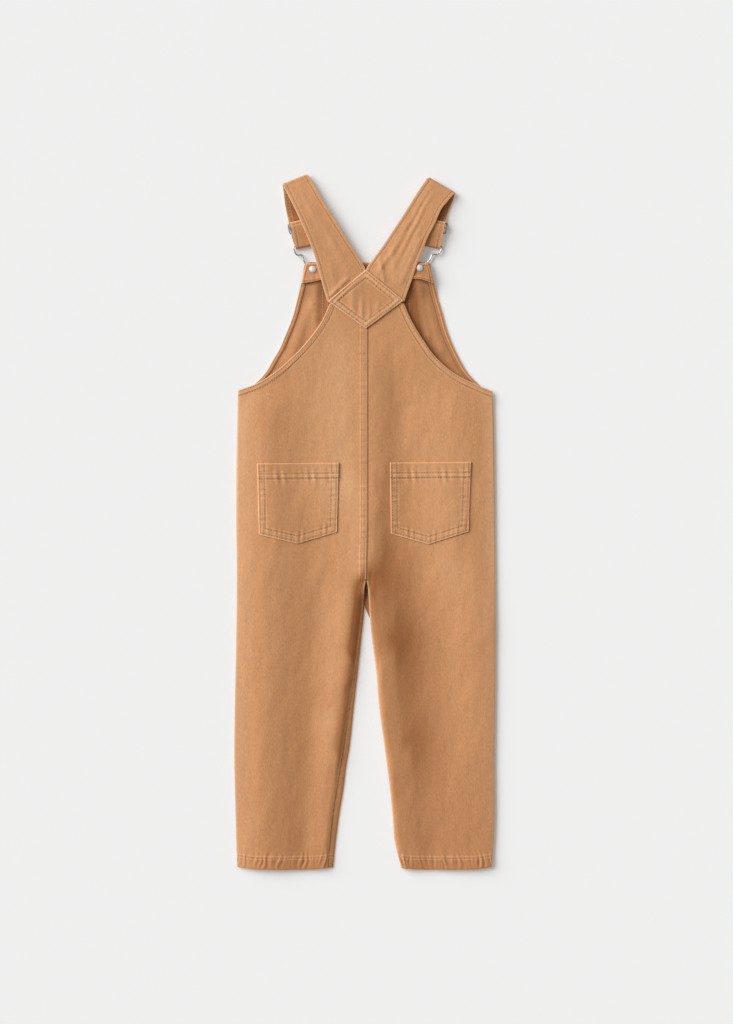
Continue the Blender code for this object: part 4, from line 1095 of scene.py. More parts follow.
# %% Build the straps
STRAP_ROW = 0.0036  # the row of stitches inside each edge of a strap

# Soft creases along the upper stretch: share across from the outer edge at both ends, where along
# it they start and stop (0 at the yoke, 1 at the shoulder), half width as a share, and height.
STRAP_CREASES = {
    "left": ((0.22, 0.30, 0.00, 0.35, 0.07, 0.0006), (0.62, 0.55, 0.10, 0.80, 0.09, 0.0006),
             (0.40, 0.50, 0.45, 0.98, 0.06, 0.0005), (0.56, 0.40, 0.00, 0.12, 0.05, 0.0012)),
    "right": ((0.80, 0.62, 0.05, 0.60, 0.05, 0.0010), (0.45, 0.55, 0.25, 0.95, 0.055, 0.0010),
              (0.28, 0.32, 0.10, 0.70, 0.05, 0.0007), (0.66, 0.78, 0.00, 0.16, 0.04, 0.0013),
              (0.68, 0.74, 0.50, 0.98, 0.045, 0.0007)),
}


# Folds beside the yoke patch and down the right strap, drawn in plan like the ridges.
STRAP_FOLDS = (
    # x and y at the upper end, x and y at the lower end, width to the left, to the right, height
    (-0.0200, 0.2650, -0.0375, 0.2475, 0.0022, 0.0016, 0.0015),
    (0.0165, 0.2860, 0.0205, 0.2640, 0.0015, 0.0018, 0.0014),
    (0.0600, 0.3080, 0.0400, 0.2620, 0.0030, 0.0020, 0.0010),
    (0.0300, 0.3000, 0.0340, 0.2620, 0.0030, 0.0026, 0.0005),
    (0.0480, 0.3280, 0.0300, 0.2980, 0.0030, 0.0020, 0.0006),
)


def strap_surface(side):
    """The strap's middle surface, with its distances from the edges and along it, and its creases."""
    outer, inner, starts = strap_rails(side)
    fine = close_steps(0.5, 0.012, 1.35, 0.045)
    share = np.concatenate([fine, 1.0 - fine[::-1][1:]])
    grid = outer[:, None] + (inner - outer)[:, None] * share[None, :, None]
    width = np.linalg.norm(inner - outer, axis=1)[:, None]
    edge = np.minimum(share, 1 - share)[None, :] * width
    line = (outer + inner) / 2
    run = np.concatenate([[0.0], np.cumsum(np.linalg.norm(np.diff(line, axis=0), axis=1))])[:, None]
    upper = run / run[starts["fold"] - 1]
    lift = np.zeros(edge.shape)
    for first, last, begin, end, half, rise in STRAP_CREASES[side]:
        t = np.clip((upper - begin) / (end - begin), 0, 1)
        centre = first + (last - first) * t
        lift += rise * bell(share[None, :], centre, half) * np.sin(math.pi * t) ** 0.8
    lift += 0.8 * waviness(grid[..., 0], grid[..., 1], uneven) * (upper < 1) * ease((upper - 0.1) / 0.2)
    lift += ridge_sum(grid[..., 0], grid[..., 1], STRAP_FOLDS) * (upper < 0.9)
    lift -= 0.00030 * bell(edge, 0.0, 0.0006) * (upper < 1)
    lift += 0.00012 * puckers(run, 0.0068, 81) * bell(edge, STRAP_ROW, 0.0025)
    lift -= 0.00016 * bell(edge, STRAP_ROW, 0.0007) * (upper < 1)
    grid[..., 2] += np.where(upper < 1, lift, 0.0)
    return grid, edge, run, starts, np.where(upper < 1, lift, 0.0)


def build_strap(side):
    grid, edge, run, starts, lift = strap_surface(side)
    rows, columns = edge.shape
    piece = add_mesh(f"cloth_strap_{side}", grid.reshape(-1, 3), grid_quads(rows, columns))
    row = np.arange(rows)[:, None]
    # The under-layer, from just past the fold to the buckle, is much darker, and the return a little
    # darker.
    under_layer_darker = -1.8 * ((row > starts["fold"] + 6) & (row < starts["turn"]))
    under_layer_darker = under_layer_darker - 0.45 * (row >= starts["turn"])
    # Creases are paler on their tops, partly wear and partly a painted highlight.
    values = {"edge": edge, "hem": np.repeat(run[-1] - run, columns, 1),
              "tone": under_layer_darker + 0.12 + 260.0 * lift}
    for key, usual in MARKS.items():
        layer = piece.data.attributes.new(key, "FLOAT", "POINT")
        layer.data.foreach_set("value", np.asarray(values.get(key, usual + 0 * edge), float).ravel())
    solid = piece.modifiers.new("thickness", "SOLIDIFY")
    solid.thickness = STRAP_CLOTH
    solid.offset = 0.0
    solid.use_even_offset = True
    rounded = piece.modifiers.new("worn edges", "BEVEL")
    rounded.width = 0.0004
    rounded.segments = 2
    rounded.limit_method = "ANGLE"
    rounded.angle_limit = math.radians(60)
    return piece


straps = {side: build_strap(side) for side in ("left", "right")}
for side, piece in straps.items():
    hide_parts(f"strap_{side}")
    print(piece.name, len(piece.data.polygons), "faces before thickening")

# %% [markdown]
# ## Topstitching
# Every seam of work clothes is sewn from the outside with thick thread, here dyed with the cloth. A
# stitch is a small capsule, about 2.4 mm long on a 3 mm pitch, whose ends dive into the cloth. One
# template is copied along each seam line with numpy and all of a piece's stitches are one mesh,
# because thousands of separate objects would be slow. Each line takes its heights from the cloth.

# %% Stitch template and sewing
STITCH_PITCH = 0.0030
STITCH_LONG = 0.0024
THREAD = 0.00026  # radius of the thread
stitch_rings = (
    # place along, share of the radius, how far it dives
    (-0.50, 0.45, 0.85), (-0.36, 0.90, 0.20), (0.0, 1.00, 0.0), (0.36, 0.90, 0.20), (0.50, 0.45, 0.85),
)
round_angles = np.radians([0, 60, 120, 180, 240, 300])


def stitch_places(lines):
    """Middle and direction of every stitch along 3-D polylines."""
    spots, aims = [], []
    for line in lines:
        if len(line) < 4:
            continue
        run = np.concatenate([[0.0], np.cumsum(np.linalg.norm(np.diff(line, axis=0), axis=1))])
        count = max(int(run[-1] / STITCH_PITCH), 1)
        mid = (np.arange(count) + 0.5) * run[-1] / count
        at = [np.stack([np.interp(mid + shift, run, line[:, i]) for i in range(3)], 1)
              for shift in (-STITCH_LONG / 2, 0.0, STITCH_LONG / 2)]
        spots.append((at[0] + at[2]) / 2 * 0.5 + at[1] * 0.5)
        aims.append(at[2] - at[0])
    aim = np.vstack(aims)
    return np.vstack(spots), aim / np.maximum(np.linalg.norm(aim, axis=1), 1e-9)[:, None]


def close_ends(piece, per, around):
    """Add both end caps of every capsule and turn all faces outwards."""
    shape = bmesh.new()
    shape.from_mesh(piece.data)
    shape.verts.ensure_lookup_table()
    for start in range(0, len(shape.verts), per):
        for cap in (range(start + around - 1, start - 1, -1), range(start + per - around, start + per)):
            shape.faces.new([shape.verts[i] for i in cap]).smooth = True
    bmesh.ops.recalc_face_normals(shape, faces=shape.faces[:])
    shape.to_mesh(piece.data)
    shape.free()


def sew(name, lines):
    """One mesh of stitches along 3-D polylines."""
    spot, aim = stitch_places(lines)
    side = np.stack([-aim[:, 1], aim[:, 0], np.zeros(len(aim))], 1)
    side /= np.maximum(np.linalg.norm(side, axis=1), 1e-9)[:, None]
    up = np.cross(aim, side)
    chance = np.random.default_rng(len(spot))
    slant = chance.normal(0.0, 0.05, len(spot))[:, None]
    aim, side = aim + side * slant, side - aim * slant
    rings = []
    for place, share, sink in stitch_rings:
        centre = spot + aim * (place * STITCH_LONG) - up * (sink * THREAD * 1.6)
        for angle in round_angles:
            rings.append(centre + (side * math.cos(angle) + up * math.sin(angle)) * THREAD * share)
    around, per = len(round_angles), len(rings)
    quads = np.array([(r * around + a, r * around + (a + 1) % around, (r + 1) * around + (a + 1) % around,
                       (r + 1) * around + a) for r in range(len(stitch_rings) - 1) for a in range(around)])
    faces = (quads[None] + (np.arange(len(spot)) * per)[:, None, None]).reshape(-1, 4)
    piece = add_mesh(name, np.stack(rings, 1).reshape(-1, 3), faces)
    close_ends(piece, per, around)
    return piece


def offset_line(line, distance):
    """A line moved to its left by a distance, in plan."""
    ahead = np.gradient(line, axis=0)
    ahead /= np.linalg.norm(ahead, axis=1)[:, None]
    return line + np.stack([-ahead[:, 1], ahead[:, 0]], 1) * distance


def on_cloth(line, piece, lift=0.00012):
    """A plan line laid on the top of a shell; points beside the shell are left out."""
    tree = trees.get(piece.name)
    if tree is None:
        data = piece.data
        points = np.empty(len(data.vertices) * 3)
        data.vertices.foreach_get("co", points)
        polygons = [tuple(face.vertices) for face in data.polygons]
        tree = trees[piece.name] = BVHTree.FromPolygons(points.reshape(-1, 3).tolist(), polygons)
    found = []
    for px, py in line:
        hit = tree.ray_cast(Vector((px, py, 0.05)), Vector((0, 0, -1)))[0]
        if hit is not None:
            found.append((px, py, hit.z + lift))
    return np.array(found)


trees = {}
print("stitches to a metre of seam:", round(1 / STITCH_PITCH))

# %% [markdown]
# ## Sewing every seam
# The seam lines are the edges moved inwards. The back has two rows on the armhole hem, which come
# closer together towards the neckline, two along the felled centre seam and one round each ankle.

# %% Stitch lines on the back
def back_stitches(side):
    piece, sign = backs[side], SIGN[side]
    lines = []
    for distance, first, last in ((0.0014, 0.0, 1.0), (0.0064, 0.0, 0.42), (0.0052, 0.40, 1.0)):
        line = offset_line(evenly(armhole_line[side], 0.001), distance * sign)
        line = line[int(first * len(line)):int(last * len(line))]
        lines.append(on_cloth(line, piece))
    if side == "left":
        y = np.linspace(0.214, CROTCH + 0.003, 300)
        seam = centre_seam(y)
        lines += [on_cloth(np.stack([seam - away, y], 1), piece) for away in SEAM_ROWS]
    share = np.linspace(0.015, 0.985, 120)
    end = read_table(share, LEG_END) + ANKLE_HEM - 0.0016
    left, right = x_of(outer_line[side], end), x_of(inseam_line[side], end)
    lines.append(on_cloth(np.stack([left + (right - left) * share, end], 1), piece))
    return lines


# %% [markdown]
# ## Sewing on the pockets and the patch
# Two rows hold each pocket on round its sides and point, and two more run along its top hem. To turn
# a corner cleanly, each row is the outline with every side moved in by the same distance, and the
# corners are where the moved sides cross. The diamond is close to even, so it is simply drawn smaller.

# %% Stitch lines on the pockets and the patch
def moved_in(corners, inset):
    """Corners of an open outline after each of its sides has moved towards its middle."""
    middle = sum(corners) / len(corners)
    sides = []
    for a, b in zip(corners, corners[1:]):
        along = (b - a) / np.linalg.norm(b - a)
        normal = np.array([-along[1], along[0]])
        sides.append((along, normal * inset * (1 if normal @ (middle - a) > 0 else -1)))
    found = [corners[0] + sides[0][1]]
    for corner, (along, shift), (next_along, next_shift) in zip(corners[1:], sides, sides[1:]):
        t = np.linalg.solve(np.array([along, -next_along]).T, next_shift - shift)[0]
        found.append(corner + shift + along * t)
    return [*found, corners[-1] + sides[-1][1]]


def pocket_stitches(side):
    top_out, top_in, low_in, point, low_out = (np.array(p) for p in BACK_POCKET[side])
    piece = pockets[side]
    lines = []
    for inset in POCKET_ROWS:
        corners = moved_in([top_out, low_out, point, low_in, top_in], inset)
        corners[0] = corners[0] + (corners[1] - corners[0]) * 0.012
        corners[-1] = corners[-1] + (corners[-2] - corners[-1]) * 0.012
        for a, b in zip(corners, corners[1:]):
            lines.append(on_cloth(evenly(np.array([a, b]), 0.001), piece))
    for depth in POCKET_HEM_ROWS:
        a = top_out + (low_out - top_out) / np.linalg.norm(low_out - top_out) * depth
        b = top_in + (low_in - top_in) / np.linalg.norm(low_in - top_in) * depth
        ends = np.array([a + (b - a) * 0.02, b + (a - b) * 0.02])
        lines.append(on_cloth(evenly(ends, 0.001), piece))
    return [line for line in lines if len(line) > 4]


def yoke_stitches():
    ring = [np.array(YOKE[key]) for key in ("left", "top", "right", "bottom")]
    middle = sum(ring) / 4
    lines = []
    for inset in YOKE_ROWS:
        scale = 1.0 - inset / YOKE_HALF
        inner = [middle + (corner - middle) * scale for corner in ring]
        for a, b in zip(inner, inner[1:] + inner[:1]):
            lines.append(on_cloth(evenly(np.array([a, b]), 0.001), yoke))
    return lines


# %% [markdown]
# ## Sewing the bib
# The bib's side hems have two rows, and the two rows that hold its pocket on come through to the
# inside. The facing has a row along its top, one along its lower edge and one at each end.

# %% Stitch lines on the bib
def bib_stitches():
    lines = []
    for side, sign in SIGN.items():
        line = bib_line[side]
        line = line[(line[:, 1] < 0.2600) & (line[:, 1] > 0.150)]
        lines += [on_cloth(offset_line(line, away * sign), bib) for away in (BIB_ROWS[1], BIB_ROWS[0])]
    for inset in (0.002, 0.0075):
        for sign in (-1, 1):
            y = np.linspace(BIB_POCKET["top"] - 0.001, BIB_POCKET["bottom"] + 0.01, 90)
            across = np.full(90, BIB_POCKET["middle"] + sign * (BIB_POCKET["half"] - inset))
            lines.append(on_cloth(np.stack([across, y], 1), bib))
    return lines


def facing_stitches():
    x = np.linspace(-0.0625, 0.0688, 140)
    low = read_table(x, FACING_END)
    lines = [np.stack([x, np.full(140, BIB_TOP - 0.0030)], 1), np.stack([x, low + 0.0020], 1)]
    for x0, x1 in ((-0.0640, -0.0678), (0.0702, 0.0738)):
        lines.append(np.stack([np.linspace(x0, x1, 30), np.linspace(0.2800, 0.2635, 30)], 1))
    return [found for found in (on_cloth(line, facing) for line in lines) if len(found) > 4]


# %% [markdown]
# ## Sewing the straps
# One row runs along each edge of a strap, on the face that is uppermost in each stretch. The lines
# are the ribbon's own rails moved inwards, lifted off its middle by half its thickness.

# %% Stitch lines on the straps
def strap_stitches(side):
    grid, _, _, starts, _ = strap_surface(side)
    outer, inner = grid[:, 0], grid[:, -1]
    width = np.linalg.norm(inner - outer, axis=1)[:, None]
    stretches = ((3, starts["fold"] + 5), (starts["under"] + 2, starts["turn"] - 22),
                 (starts["return"] + 3, len(outer) - 3))
    lines = []
    for begin, stop in stretches:
        for first, second in ((outer, inner), (inner, outer)):
            line = first + (second - first) * (STRAP_ROW / width)
            up = np.cross(np.gradient(line, axis=0), second - first)
            up /= np.linalg.norm(up, axis=1)[:, None]
            up *= np.where(up[:, 2:] < 0, -1.0, 1.0)
            lines.append((line + up * (STRAP_CLOTH / 2 + 0.0001))[begin:stop])
    return lines


stitch_sets = {
    "stitches_yoke": yoke_stitches(),
    "stitches_bib": bib_stitches(),
    "stitches_facing": facing_stitches(),
}
for side in ("left", "right"):
    stitch_sets[f"stitches_back_{side}"] = back_stitches(side)
    stitch_sets[f"stitches_pocket_{side}"] = pocket_stitches(side)
    stitch_sets[f"stitches_strap_{side}"] = strap_stitches(side)
stitches = {name: sew(name, lines) for name, lines in stitch_sets.items()}
print({name: len(piece.data.polygons) for name, piece in stitches.items()})

# %% [markdown]
# ## Twill
# The cloth is a garment-dyed cotton twill. Three scales make its look: diagonal ribs under a
# millimetre apart, a fine uneven grain from yarns that took the dye differently, and cloudy fading
# over tens of millimetres. Washing also takes dye off every raised edge, and the sunk line of each
# seam is darker, partly from dye kept there and partly as painted shade. The distances stored on the
# cloth let one node group draw both exactly where the seams are, however coarse the mesh.

# %% Node helper
class Nodes:
    """Short calls for adding and joining shader nodes."""

    def __init__(self, material):
        material.use_nodes = True
        self.tree = material.node_tree
        self.shader = self.tree.nodes["Principled BSDF"]

    def add(self, kind, **values):
        node = self.tree.nodes.new(kind)
        for key, value in values.items():
            setattr(node, key, value)
        return node

    def join(self, source, target):
        self.tree.links.new(source, target)

    def math(self, operation, a, b=None, clamp=False):
        node = self.add("ShaderNodeMath", operation=operation, use_clamp=clamp)
        for slot, value in zip(node.inputs, (a, b)):
            if value is None:
                continue
            if isinstance(value, (int, float)):
                slot.default_value = value
            else:
                self.join(value, slot)
        return node.outputs[0]

    def plus(self, total, value, amount):
        return self.math("ADD", total, self.math("MULTIPLY", value, amount))

    def distance(self, name):
        return self.add("ShaderNodeAttribute", attribute_name=name).outputs["Fac"]

    def line(self, distance, at, half):
        """1 on a line at that distance, fading smoothly over half to each side."""
        away = self.math("ABSOLUTE", self.math("SUBTRACT", distance, at))
        near = self.math("SUBTRACT", 1.0, self.math("DIVIDE", away, half), clamp=True)
        return self.math("MULTIPLY", near, near)

    def turned(self, turn, stretch=1.0):
        """Places on the piece, turned to the cloth's grain; a stretch under 1 draws marks out."""
        node = self.add("ShaderNodeMapping")
        node.inputs["Rotation"].default_value = (0.0, 0.0, turn)
        node.inputs["Scale"].default_value = (1.0, stretch, 1.0)
        self.join(self.add("ShaderNodeTexCoord").outputs["Object"], node.inputs["Vector"])
        return node.outputs[0]

    def noise(self, place, scale, detail=2.0, roughness=0.5):
        node = self.add("ShaderNodeTexNoise")
        node.inputs["Scale"].default_value = scale
        node.inputs["Detail"].default_value = detail
        node.inputs["Roughness"].default_value = roughness
        self.join(place, node.inputs["Vector"])
        return node.outputs["Fac"]

    def bump(self, height, strength, distance):
        node = self.add("ShaderNodeBump")
        node.inputs["Strength"].default_value = strength
        node.inputs["Distance"].default_value = distance
        self.join(height, node.inputs["Height"])
        self.join(node.outputs[0], self.shader.inputs["Normal"])

    def mix(self, share, a, b, mode="MIX"):
        node = self.add("ShaderNodeMix", data_type="RGBA", blend_type=mode)
        for slot, value in ((node.inputs["Factor"], share), (node.inputs[6], a), (node.inputs[7], b)):
            if isinstance(value, (int, float, tuple)):
                slot.default_value = value
            else:
                self.join(value, slot)
        return node.outputs[2]


# %% [markdown]
# ## Wear and painted shade along the seams
# Each row of stitches lies in a sunk line that is darker, partly from dye kept there and partly as
# painted shade, with a rubbed line on each side of it. Hem edges and folds are palest of all, partly
# rubbed and partly a painted highlight. The felled seam's edge is paler, partly rubbed and partly a
# painted highlight, with a painted shadow beside it, and the groove beside a bib hem gets painted
# shade. All are read from the stored distances: `line` gives a soft line at one distance, and a
# coarse noise breaks it up, because wear is never even.

# %% Wear and painted shade from the stored distances
ROW = 0.0013  # half width of the sunk line under a row of stitches
RUBBED = 0.0016  # from that line to the rubbed one beside it


def seam_wear(n, edge_rows, hem_rows, seam_rows, fold, groove_shade):
    """How sunk and how pale each point is."""
    edge, hem, seam, along = (n.distance(mark) for mark in ("edge", "hem", "seam", "along"))
    sunk, pale = 0.0, 0.0
    for distance, rows, rub in ((edge, edge_rows, 0.45), (hem, hem_rows, 0.45), (seam, seam_rows, 0.12)):
        for at in rows:
            sunk = n.plus(sunk, n.line(distance, at, ROW), 0.5 + rub)
            pale = n.plus(pale, n.line(distance, at - RUBBED, ROW), rub)
            pale = n.plus(pale, n.line(distance, at + RUBBED, ROW), rub)
    if edge_rows:
        pale = n.plus(pale, n.line(edge, 0.0, 0.0019), 1.5)
    if hem_rows:
        pale = n.plus(pale, n.line(hem, 0.0, 0.0017), 1.0)
    if seam_rows:
        # The felled seam: a paler edge, partly rubbed and partly a painted highlight, and a painted shadow
        # on the lap beside it.
        pale = n.plus(pale, n.line(seam, 0.0006, 0.0013), 1.6)
        sunk = n.plus(sunk, n.line(seam, -0.0012, 0.0016), 1.3)
    # Painted shade in the groove beside a hem.
    if groove_shade:
        sunk = n.plus(sunk, n.line(edge, groove_shade, 0.0015), 1.8)
    if fold:
        pale = n.plus(pale, n.line(along, 0.0, 0.0032), fold)
    return sunk, pale


# %% [markdown]
# ## Weave and dye
# Twill's ribs cross the cloth at a slant, so the wave texture is turned to 27 degrees. Over it lie
# noises at four sizes: single yarns, the grain of the dye, streaks along the warp, and clouds. The
# base colour moves between two tans, the stored tone moves it on towards a deep tan that also serves
# as painted shade or a pale tan that also serves as painted highlight, and the yarns darken or
# lighten it a little. The same ribs and yarns give the bump.

# %% Twill material
TAN_DEEP_AND_SHADE = (0.330, 0.125, 0.044, 1.0)
TAN_LOW = (0.545, 0.252, 0.108, 1.0)
TAN_HIGH = (0.690, 0.364, 0.178, 1.0)
TAN_FADED_AND_LIT = (0.800, 0.470, 0.262, 1.0)
RIB_PITCH = 0.00095
RIB_SLANT = math.radians(27)


def twill_ribs(n, turn):
    ribs = n.add("ShaderNodeTexWave", wave_type="BANDS", bands_direction="X", wave_profile="SIN")
    ribs.inputs["Scale"].default_value = 0.314 / RIB_PITCH
    ribs.inputs["Distortion"].default_value = 1.6
    ribs.inputs["Detail"].default_value = 1.0
    ribs.inputs["Detail Scale"].default_value = 3.0
    n.join(n.turned(RIB_SLANT + turn), ribs.inputs["Vector"])
    return ribs.outputs["Fac"]


def twill_material(name, edge_rows=(), hem_rows=(), seam_rows=(), turn=0.0, paling_strength=1.0, fold=0.0,
                   groove_shade=0.0):
    material = bpy.data.materials.new(name)
    n = Nodes(material)
    place = n.turned(turn)
    ribs = twill_ribs(n, turn)
    yarn = n.noise(n.turned(turn, 0.30), 900.0, 3.0, 0.65)
    fine = n.noise(place, 1500.0, 2.0, 0.6)
    grain = n.noise(place, 520.0, 4.0, 0.7)
    clouds = n.noise(place, 22.0, 3.0, 0.55)
    streaks = n.noise(n.turned(turn, 0.07), 210.0, 3.0, 0.6)

    sunk, pale = seam_wear(n, edge_rows, hem_rows, seam_rows, fold, groove_shade)
    broken = n.plus(0.45, n.noise(place, 260.0, 2.0), 1.1)
    pale = n.math("MULTIPLY", n.math("MULTIPLY", pale, broken), paling_strength * 0.80, clamp=True)
    sunk = n.math("MULTIPLY", n.math("MULTIPLY", sunk, broken), 0.85, clamp=True)

    fade = n.plus(n.plus(n.math("MULTIPLY", clouds, 0.30), streaks, 0.45), grain, 0.50)
    base = n.mix(n.math("SUBTRACT", fade, 0.30, clamp=True), TAN_LOW, TAN_HIGH)
    tone = n.distance("tone")
    # Tone below zero moves the colour towards the deep tan, mostly as painted shade; above zero towards the
    # pale tan, mostly as painted highlight.
    base = n.mix(n.math("MULTIPLY", tone, -0.60, clamp=True), base, TAN_DEEP_AND_SHADE)
    base = n.mix(n.math("MULTIPLY", tone, 0.50, clamp=True), base, TAN_FADED_AND_LIT)
    weave = n.plus(n.math("MULTIPLY", yarn, 0.62), fine, 0.55)
    base = n.mix(1.0, base, n.math("ADD", weave, 0.43), mode="MULTIPLY")
    base = n.mix(n.math("MULTIPLY", ribs, 0.10), base, TAN_DEEP_AND_SHADE)
    base = n.mix(sunk, base, TAN_DEEP_AND_SHADE)
    n.join(n.mix(pale, base, TAN_FADED_AND_LIT), n.shader.inputs["Base Color"])

    relief = n.plus(n.plus(n.math("MULTIPLY", ribs, 0.35), yarn, 0.7), grain, 0.5)
    n.bump(n.math("SUBTRACT", relief, n.math("MULTIPLY", sunk, 2.0)), 0.55, 0.00022)
    n.shader.inputs["Roughness"].default_value = 0.88
    n.shader.inputs["Specular IOR Level"].default_value = 0.16
    n.shader.inputs["Sheen Weight"].default_value = 0.07
    n.shader.inputs["Sheen Roughness"].default_value = 0.45
    n.shader.inputs["Sheen Tint"].default_value = (1.0, 0.86, 0.72, 1.0)
    return material


# %% [markdown]
# ## Twill on each piece
# Every piece has its own twill, because its rows of stitches lie at their own distances. A strap is
# cut along the warp and lies aslant, so its grain is turned with it.

# %% Put the twill on
def set_material(piece, material):
    piece.data.materials.clear()
    piece.data.materials.append(material)


back_twill = twill_material("back twill", edge_rows=(0.0014, 0.0060), hem_rows=(0.0129,),
                            seam_rows=SEAM_ROWS, fold=1.1)
front_twill = twill_material("front twill", hem_rows=(0.0129,), seam_rows=SEAM_ROWS, fold=0.5)
bib_twill = twill_material("bib twill", edge_rows=BIB_ROWS, paling_strength=0.9, groove_shade=BIB_HEM + 0.0007)
facing_twill = twill_material("facing twill", edge_rows=(0.0030,), hem_rows=(0.0020,), paling_strength=0.8)
pocket_twill = twill_material("pocket twill", edge_rows=POCKET_ROWS, hem_rows=POCKET_HEM_ROWS, paling_strength=1.2)
yoke_twill = twill_material("yoke twill", edge_rows=YOKE_ROWS, paling_strength=1.3)
strap_twill = {side: twill_material(f"strap twill {side}", edge_rows=(STRAP_ROW,), hem_rows=(0.0030,),
                                    turn=SIGN[side] * math.radians(27)) for side in SIGN}
for side in SIGN:
    set_material(backs[side], back_twill)
    set_material(fronts[side], front_twill)
    set_material(pockets[side], pocket_twill)
    set_material(straps[side], strap_twill[side])
set_material(bib, bib_twill)
set_material(facing, facing_twill)
set_material(bib_pocket, pocket_twill)
set_material(yoke, yoke_twill)
print("cloth materials:", sorted(m.name for m in bpy.data.materials if "twill" in m.name))

# %% [markdown]
# ## Thread
# The thread is dyed with the garment but fades faster than the cloth, so the stitches read as a
# slightly paler dashed line. Two-ply thread is twisted; at this size a fine noise bump is enough.

# %% Thread material
def thread_material():
    material = bpy.data.materials.new("thread")
    n = Nodes(material)
    place = n.add("ShaderNodeTexCoord").outputs["Object"]
    tone = n.noise(place, 160.0, 2.0)
    colour = n.mix(tone, (0.60, 0.30, 0.14, 1.0), (0.84, 0.52, 0.31, 1.0))
    n.join(colour, n.shader.inputs["Base Color"])
    n.bump(n.noise(place, 2600.0, 1.0), 0.3, 0.0001)
    n.shader.inputs["Roughness"].default_value = 0.6
    n.shader.inputs["Specular IOR Level"].default_value = 0.3
    return material


thread = thread_material()
for name, piece in stitches.items():
    set_material(piece, thread)

# %% [markdown]
# ## Metal
# The buckles and sliders are plated steel wire and keep their solids. Fine scratches and a varying
# roughness keep them from looking like mirrors. Buttons and tacks have a pale satin plating. Under a
# plain surround a pure metal would mirror grey, so theirs is partly a plain reflecting coat.

# %% Metal materials
def metal_material(name, colour, rough_low, rough_high, scale, metallic):
    material = bpy.data.materials.new(name)
    n = Nodes(material)
    place = n.add("ShaderNodeTexCoord").outputs["Object"]
    tarnish = n.noise(place, scale, 3.0, 0.6)
    dull = tuple(value * 0.72 for value in colour)
    n.join(n.mix(tarnish, (*dull, 1.0), (*colour, 1.0)), n.shader.inputs["Base Color"])
    spread = n.math("ADD", rough_low, n.math("MULTIPLY", tarnish, rough_high - rough_low))
    n.join(spread, n.shader.inputs["Roughness"])
    n.bump(n.noise(place, 3200.0, 2.0), 0.12, 0.00005)
    n.shader.inputs["Metallic"].default_value = metallic
    return material


wire_metal = metal_material("wire metal", (0.50, 0.48, 0.46), 0.25, 0.45, 220.0, 1.0)
button_metal = metal_material("button metal", (0.93, 0.93, 0.93), 0.30, 0.45, 300.0, 0.45)
for side in SIGN:
    for kind, metal in (("slider", wire_metal), ("buckle", wire_metal), ("button", button_metal),
                        ("tack", button_metal)):
        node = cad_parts[f"{kind}_{side}"]
        node.data.materials.clear()
        node.data.materials.append(metal)
print("metal pieces keep their solids: sliders, buckles, buttons and tacks")

# %% [markdown]
# ## Each piece on the root
# A panel's cut isn't a rectangle, so its area is the one measured from the shell and a share for
# hems. Each cloth piece is attached to the root, and the stitches on a piece go with it. The table
# lists the bounding rectangle of each piece's cut, hems and seam allowances included (a panel's cut
# isn't a rectangle), and what it lies on; nothing here reads these sizes.

# %% Attach to the root
CUTS = {
    # width and length of the cut's bounding rectangle, what it lies on
    "cloth_back_left": (0.160, 0.650, ("front_left", "bib")),
    "cloth_back_right": (0.158, 0.650, ("front_right", "bib")),
    "cloth_front_left": (0.160, 0.540, ()),
    "cloth_front_right": (0.156, 0.540, ()),
    "cloth_bib": (0.292, 0.170, ()),
    "cloth_facing": (0.156, 0.024, ("bib",)),
    "cloth_bib_pocket": (0.115, 0.115, ()),
    "cloth_pocket_left": (0.095, 0.105, ("back_left",)),
    "cloth_pocket_right": (0.095, 0.105, ("back_right",)),
    "cloth_yoke": (0.084, 0.065, ("back_left", "back_right")),
    "cloth_strap_left": (0.036, 0.270, ()),
    "cloth_strap_right": (0.036, 0.270, ()),
}
for name, (width, length, rests) in CUTS.items():
    piece = bpy.data.objects[name]
    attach(piece, "root")
for piece in stitches.values():
    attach(piece, "root")

# %% [markdown]
# ## Surface and light
# The garment lies on a pale seamless surface. A very soft sun, low on the left, makes the ridges
# bright on their left and throws a faint shadow to the right. A pale warm surround fills the rest.
# The surface glows slightly, as one that is lit from all round a studio would, so that it is nearly
# white while the cloth keeps its shading. The Standard view transform shows each colour as it was
# measured, where a film-like one would take the warmth out of the tan.

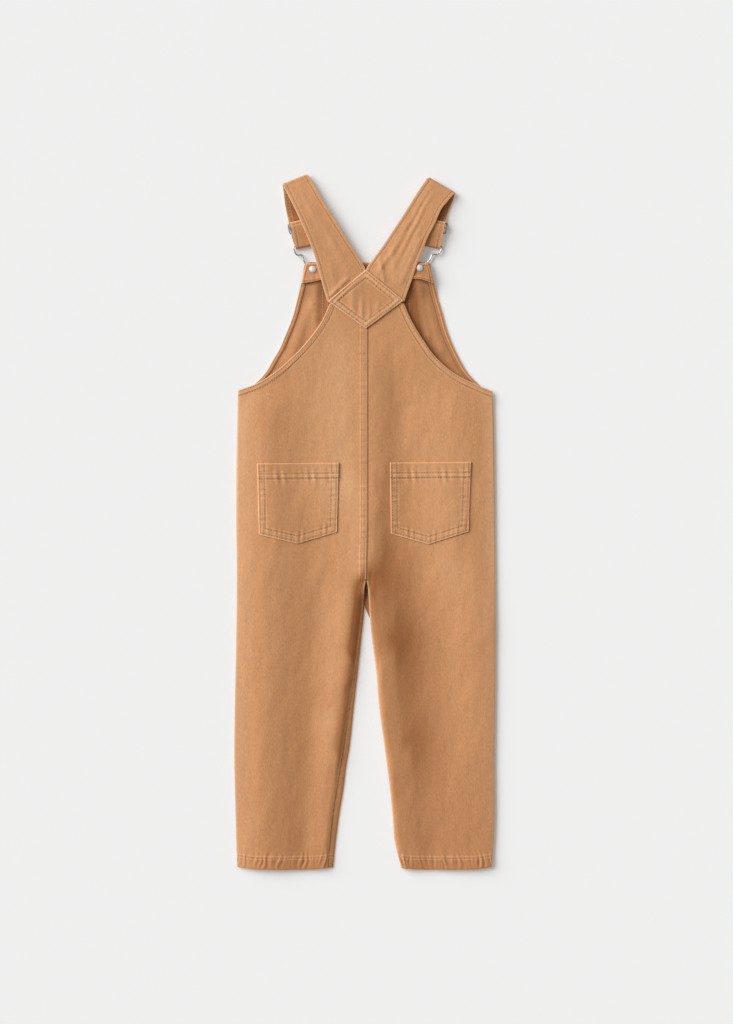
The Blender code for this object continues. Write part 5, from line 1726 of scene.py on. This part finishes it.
# %% Surface, sun and surround
def add_floor():
    data = bpy.data.meshes.new("pale surface")
    half = 4.0
    data.from_pydata([(-half, -half, 0.0), (half, -half, 0.0), (half, half, 0.0), (-half, half, 0.0)],
                     [], [(0, 1, 2, 3)])
    floor = bpy.data.objects.new("pale surface", data)
    floor.location.z = -0.0002
    bpy.context.scene.collection.objects.link(floor)
    material = bpy.data.materials.new("pale surface")
    n = Nodes(material)
    n.shader.inputs["Base Color"].default_value = (0.74, 0.74, 0.74, 1.0)
    n.shader.inputs["Emission Color"].default_value = (1.0, 0.985, 0.965, 1.0)
    n.shader.inputs["Emission Strength"].default_value = 0.15
    n.shader.inputs["Roughness"].default_value = 0.9
    n.shader.inputs["Specular IOR Level"].default_value = 0.1
    floor.data.materials.append(material)
    return floor


def add_sun(name, towards, softness, strength):
    data = bpy.data.lights.new(name, "SUN")
    data.angle = math.radians(softness)
    data.energy = strength
    lamp = bpy.data.objects.new(name, data)
    lamp.location = Vector(towards) * 3.0
    lamp.rotation_euler = (-Vector(towards)).to_track_quat("-Z", "Y").to_euler()
    bpy.context.scene.collection.objects.link(lamp)
    return lamp


key = add_sun("key sun", (-0.78, 0.45, 0.56), 48.0, 3.95)
key.data.color = (0.945, 0.970, 1.0)
add_floor()

bpy.context.scene.view_settings.view_transform = "Standard"
world = bpy.data.worlds.new("surround")
bpy.context.scene.world = world
world.use_nodes = True
world.node_tree.nodes["Background"].inputs["Color"].default_value = (1.0, 0.95, 0.89, 1.0)
world.node_tree.nodes["Background"].inputs["Strength"].default_value = 0.34
print("sun:", key.data.energy, "softness:", round(math.degrees(key.data.angle)), "degrees")

# %% [markdown]
# ## Camera
# The picture is taken from straight above. From three metres up with a long lens the garment shows
# almost no perspective, as in a product picture.

# %% Camera
PICTURE_LONG = 1.1264  # height of the picture on the table: 1024 pixels of 1.1 mm
PICTURE_HIGH = 3.0  # of the camera over the table
camera_data = bpy.data.cameras.new("overhead camera")
camera = bpy.data.objects.new("overhead camera", camera_data)
bpy.context.scene.collection.objects.link(camera)
bpy.context.scene.camera = camera
camera_data.sensor_fit = "VERTICAL"
camera_data.sensor_height = 36.0
camera_data.lens = 36.0 * PICTURE_HIGH / PICTURE_LONG
camera.location = (0.00187, 0.0099, PICTURE_HIGH)
print("lens:", round(camera_data.lens, 1), "mm")
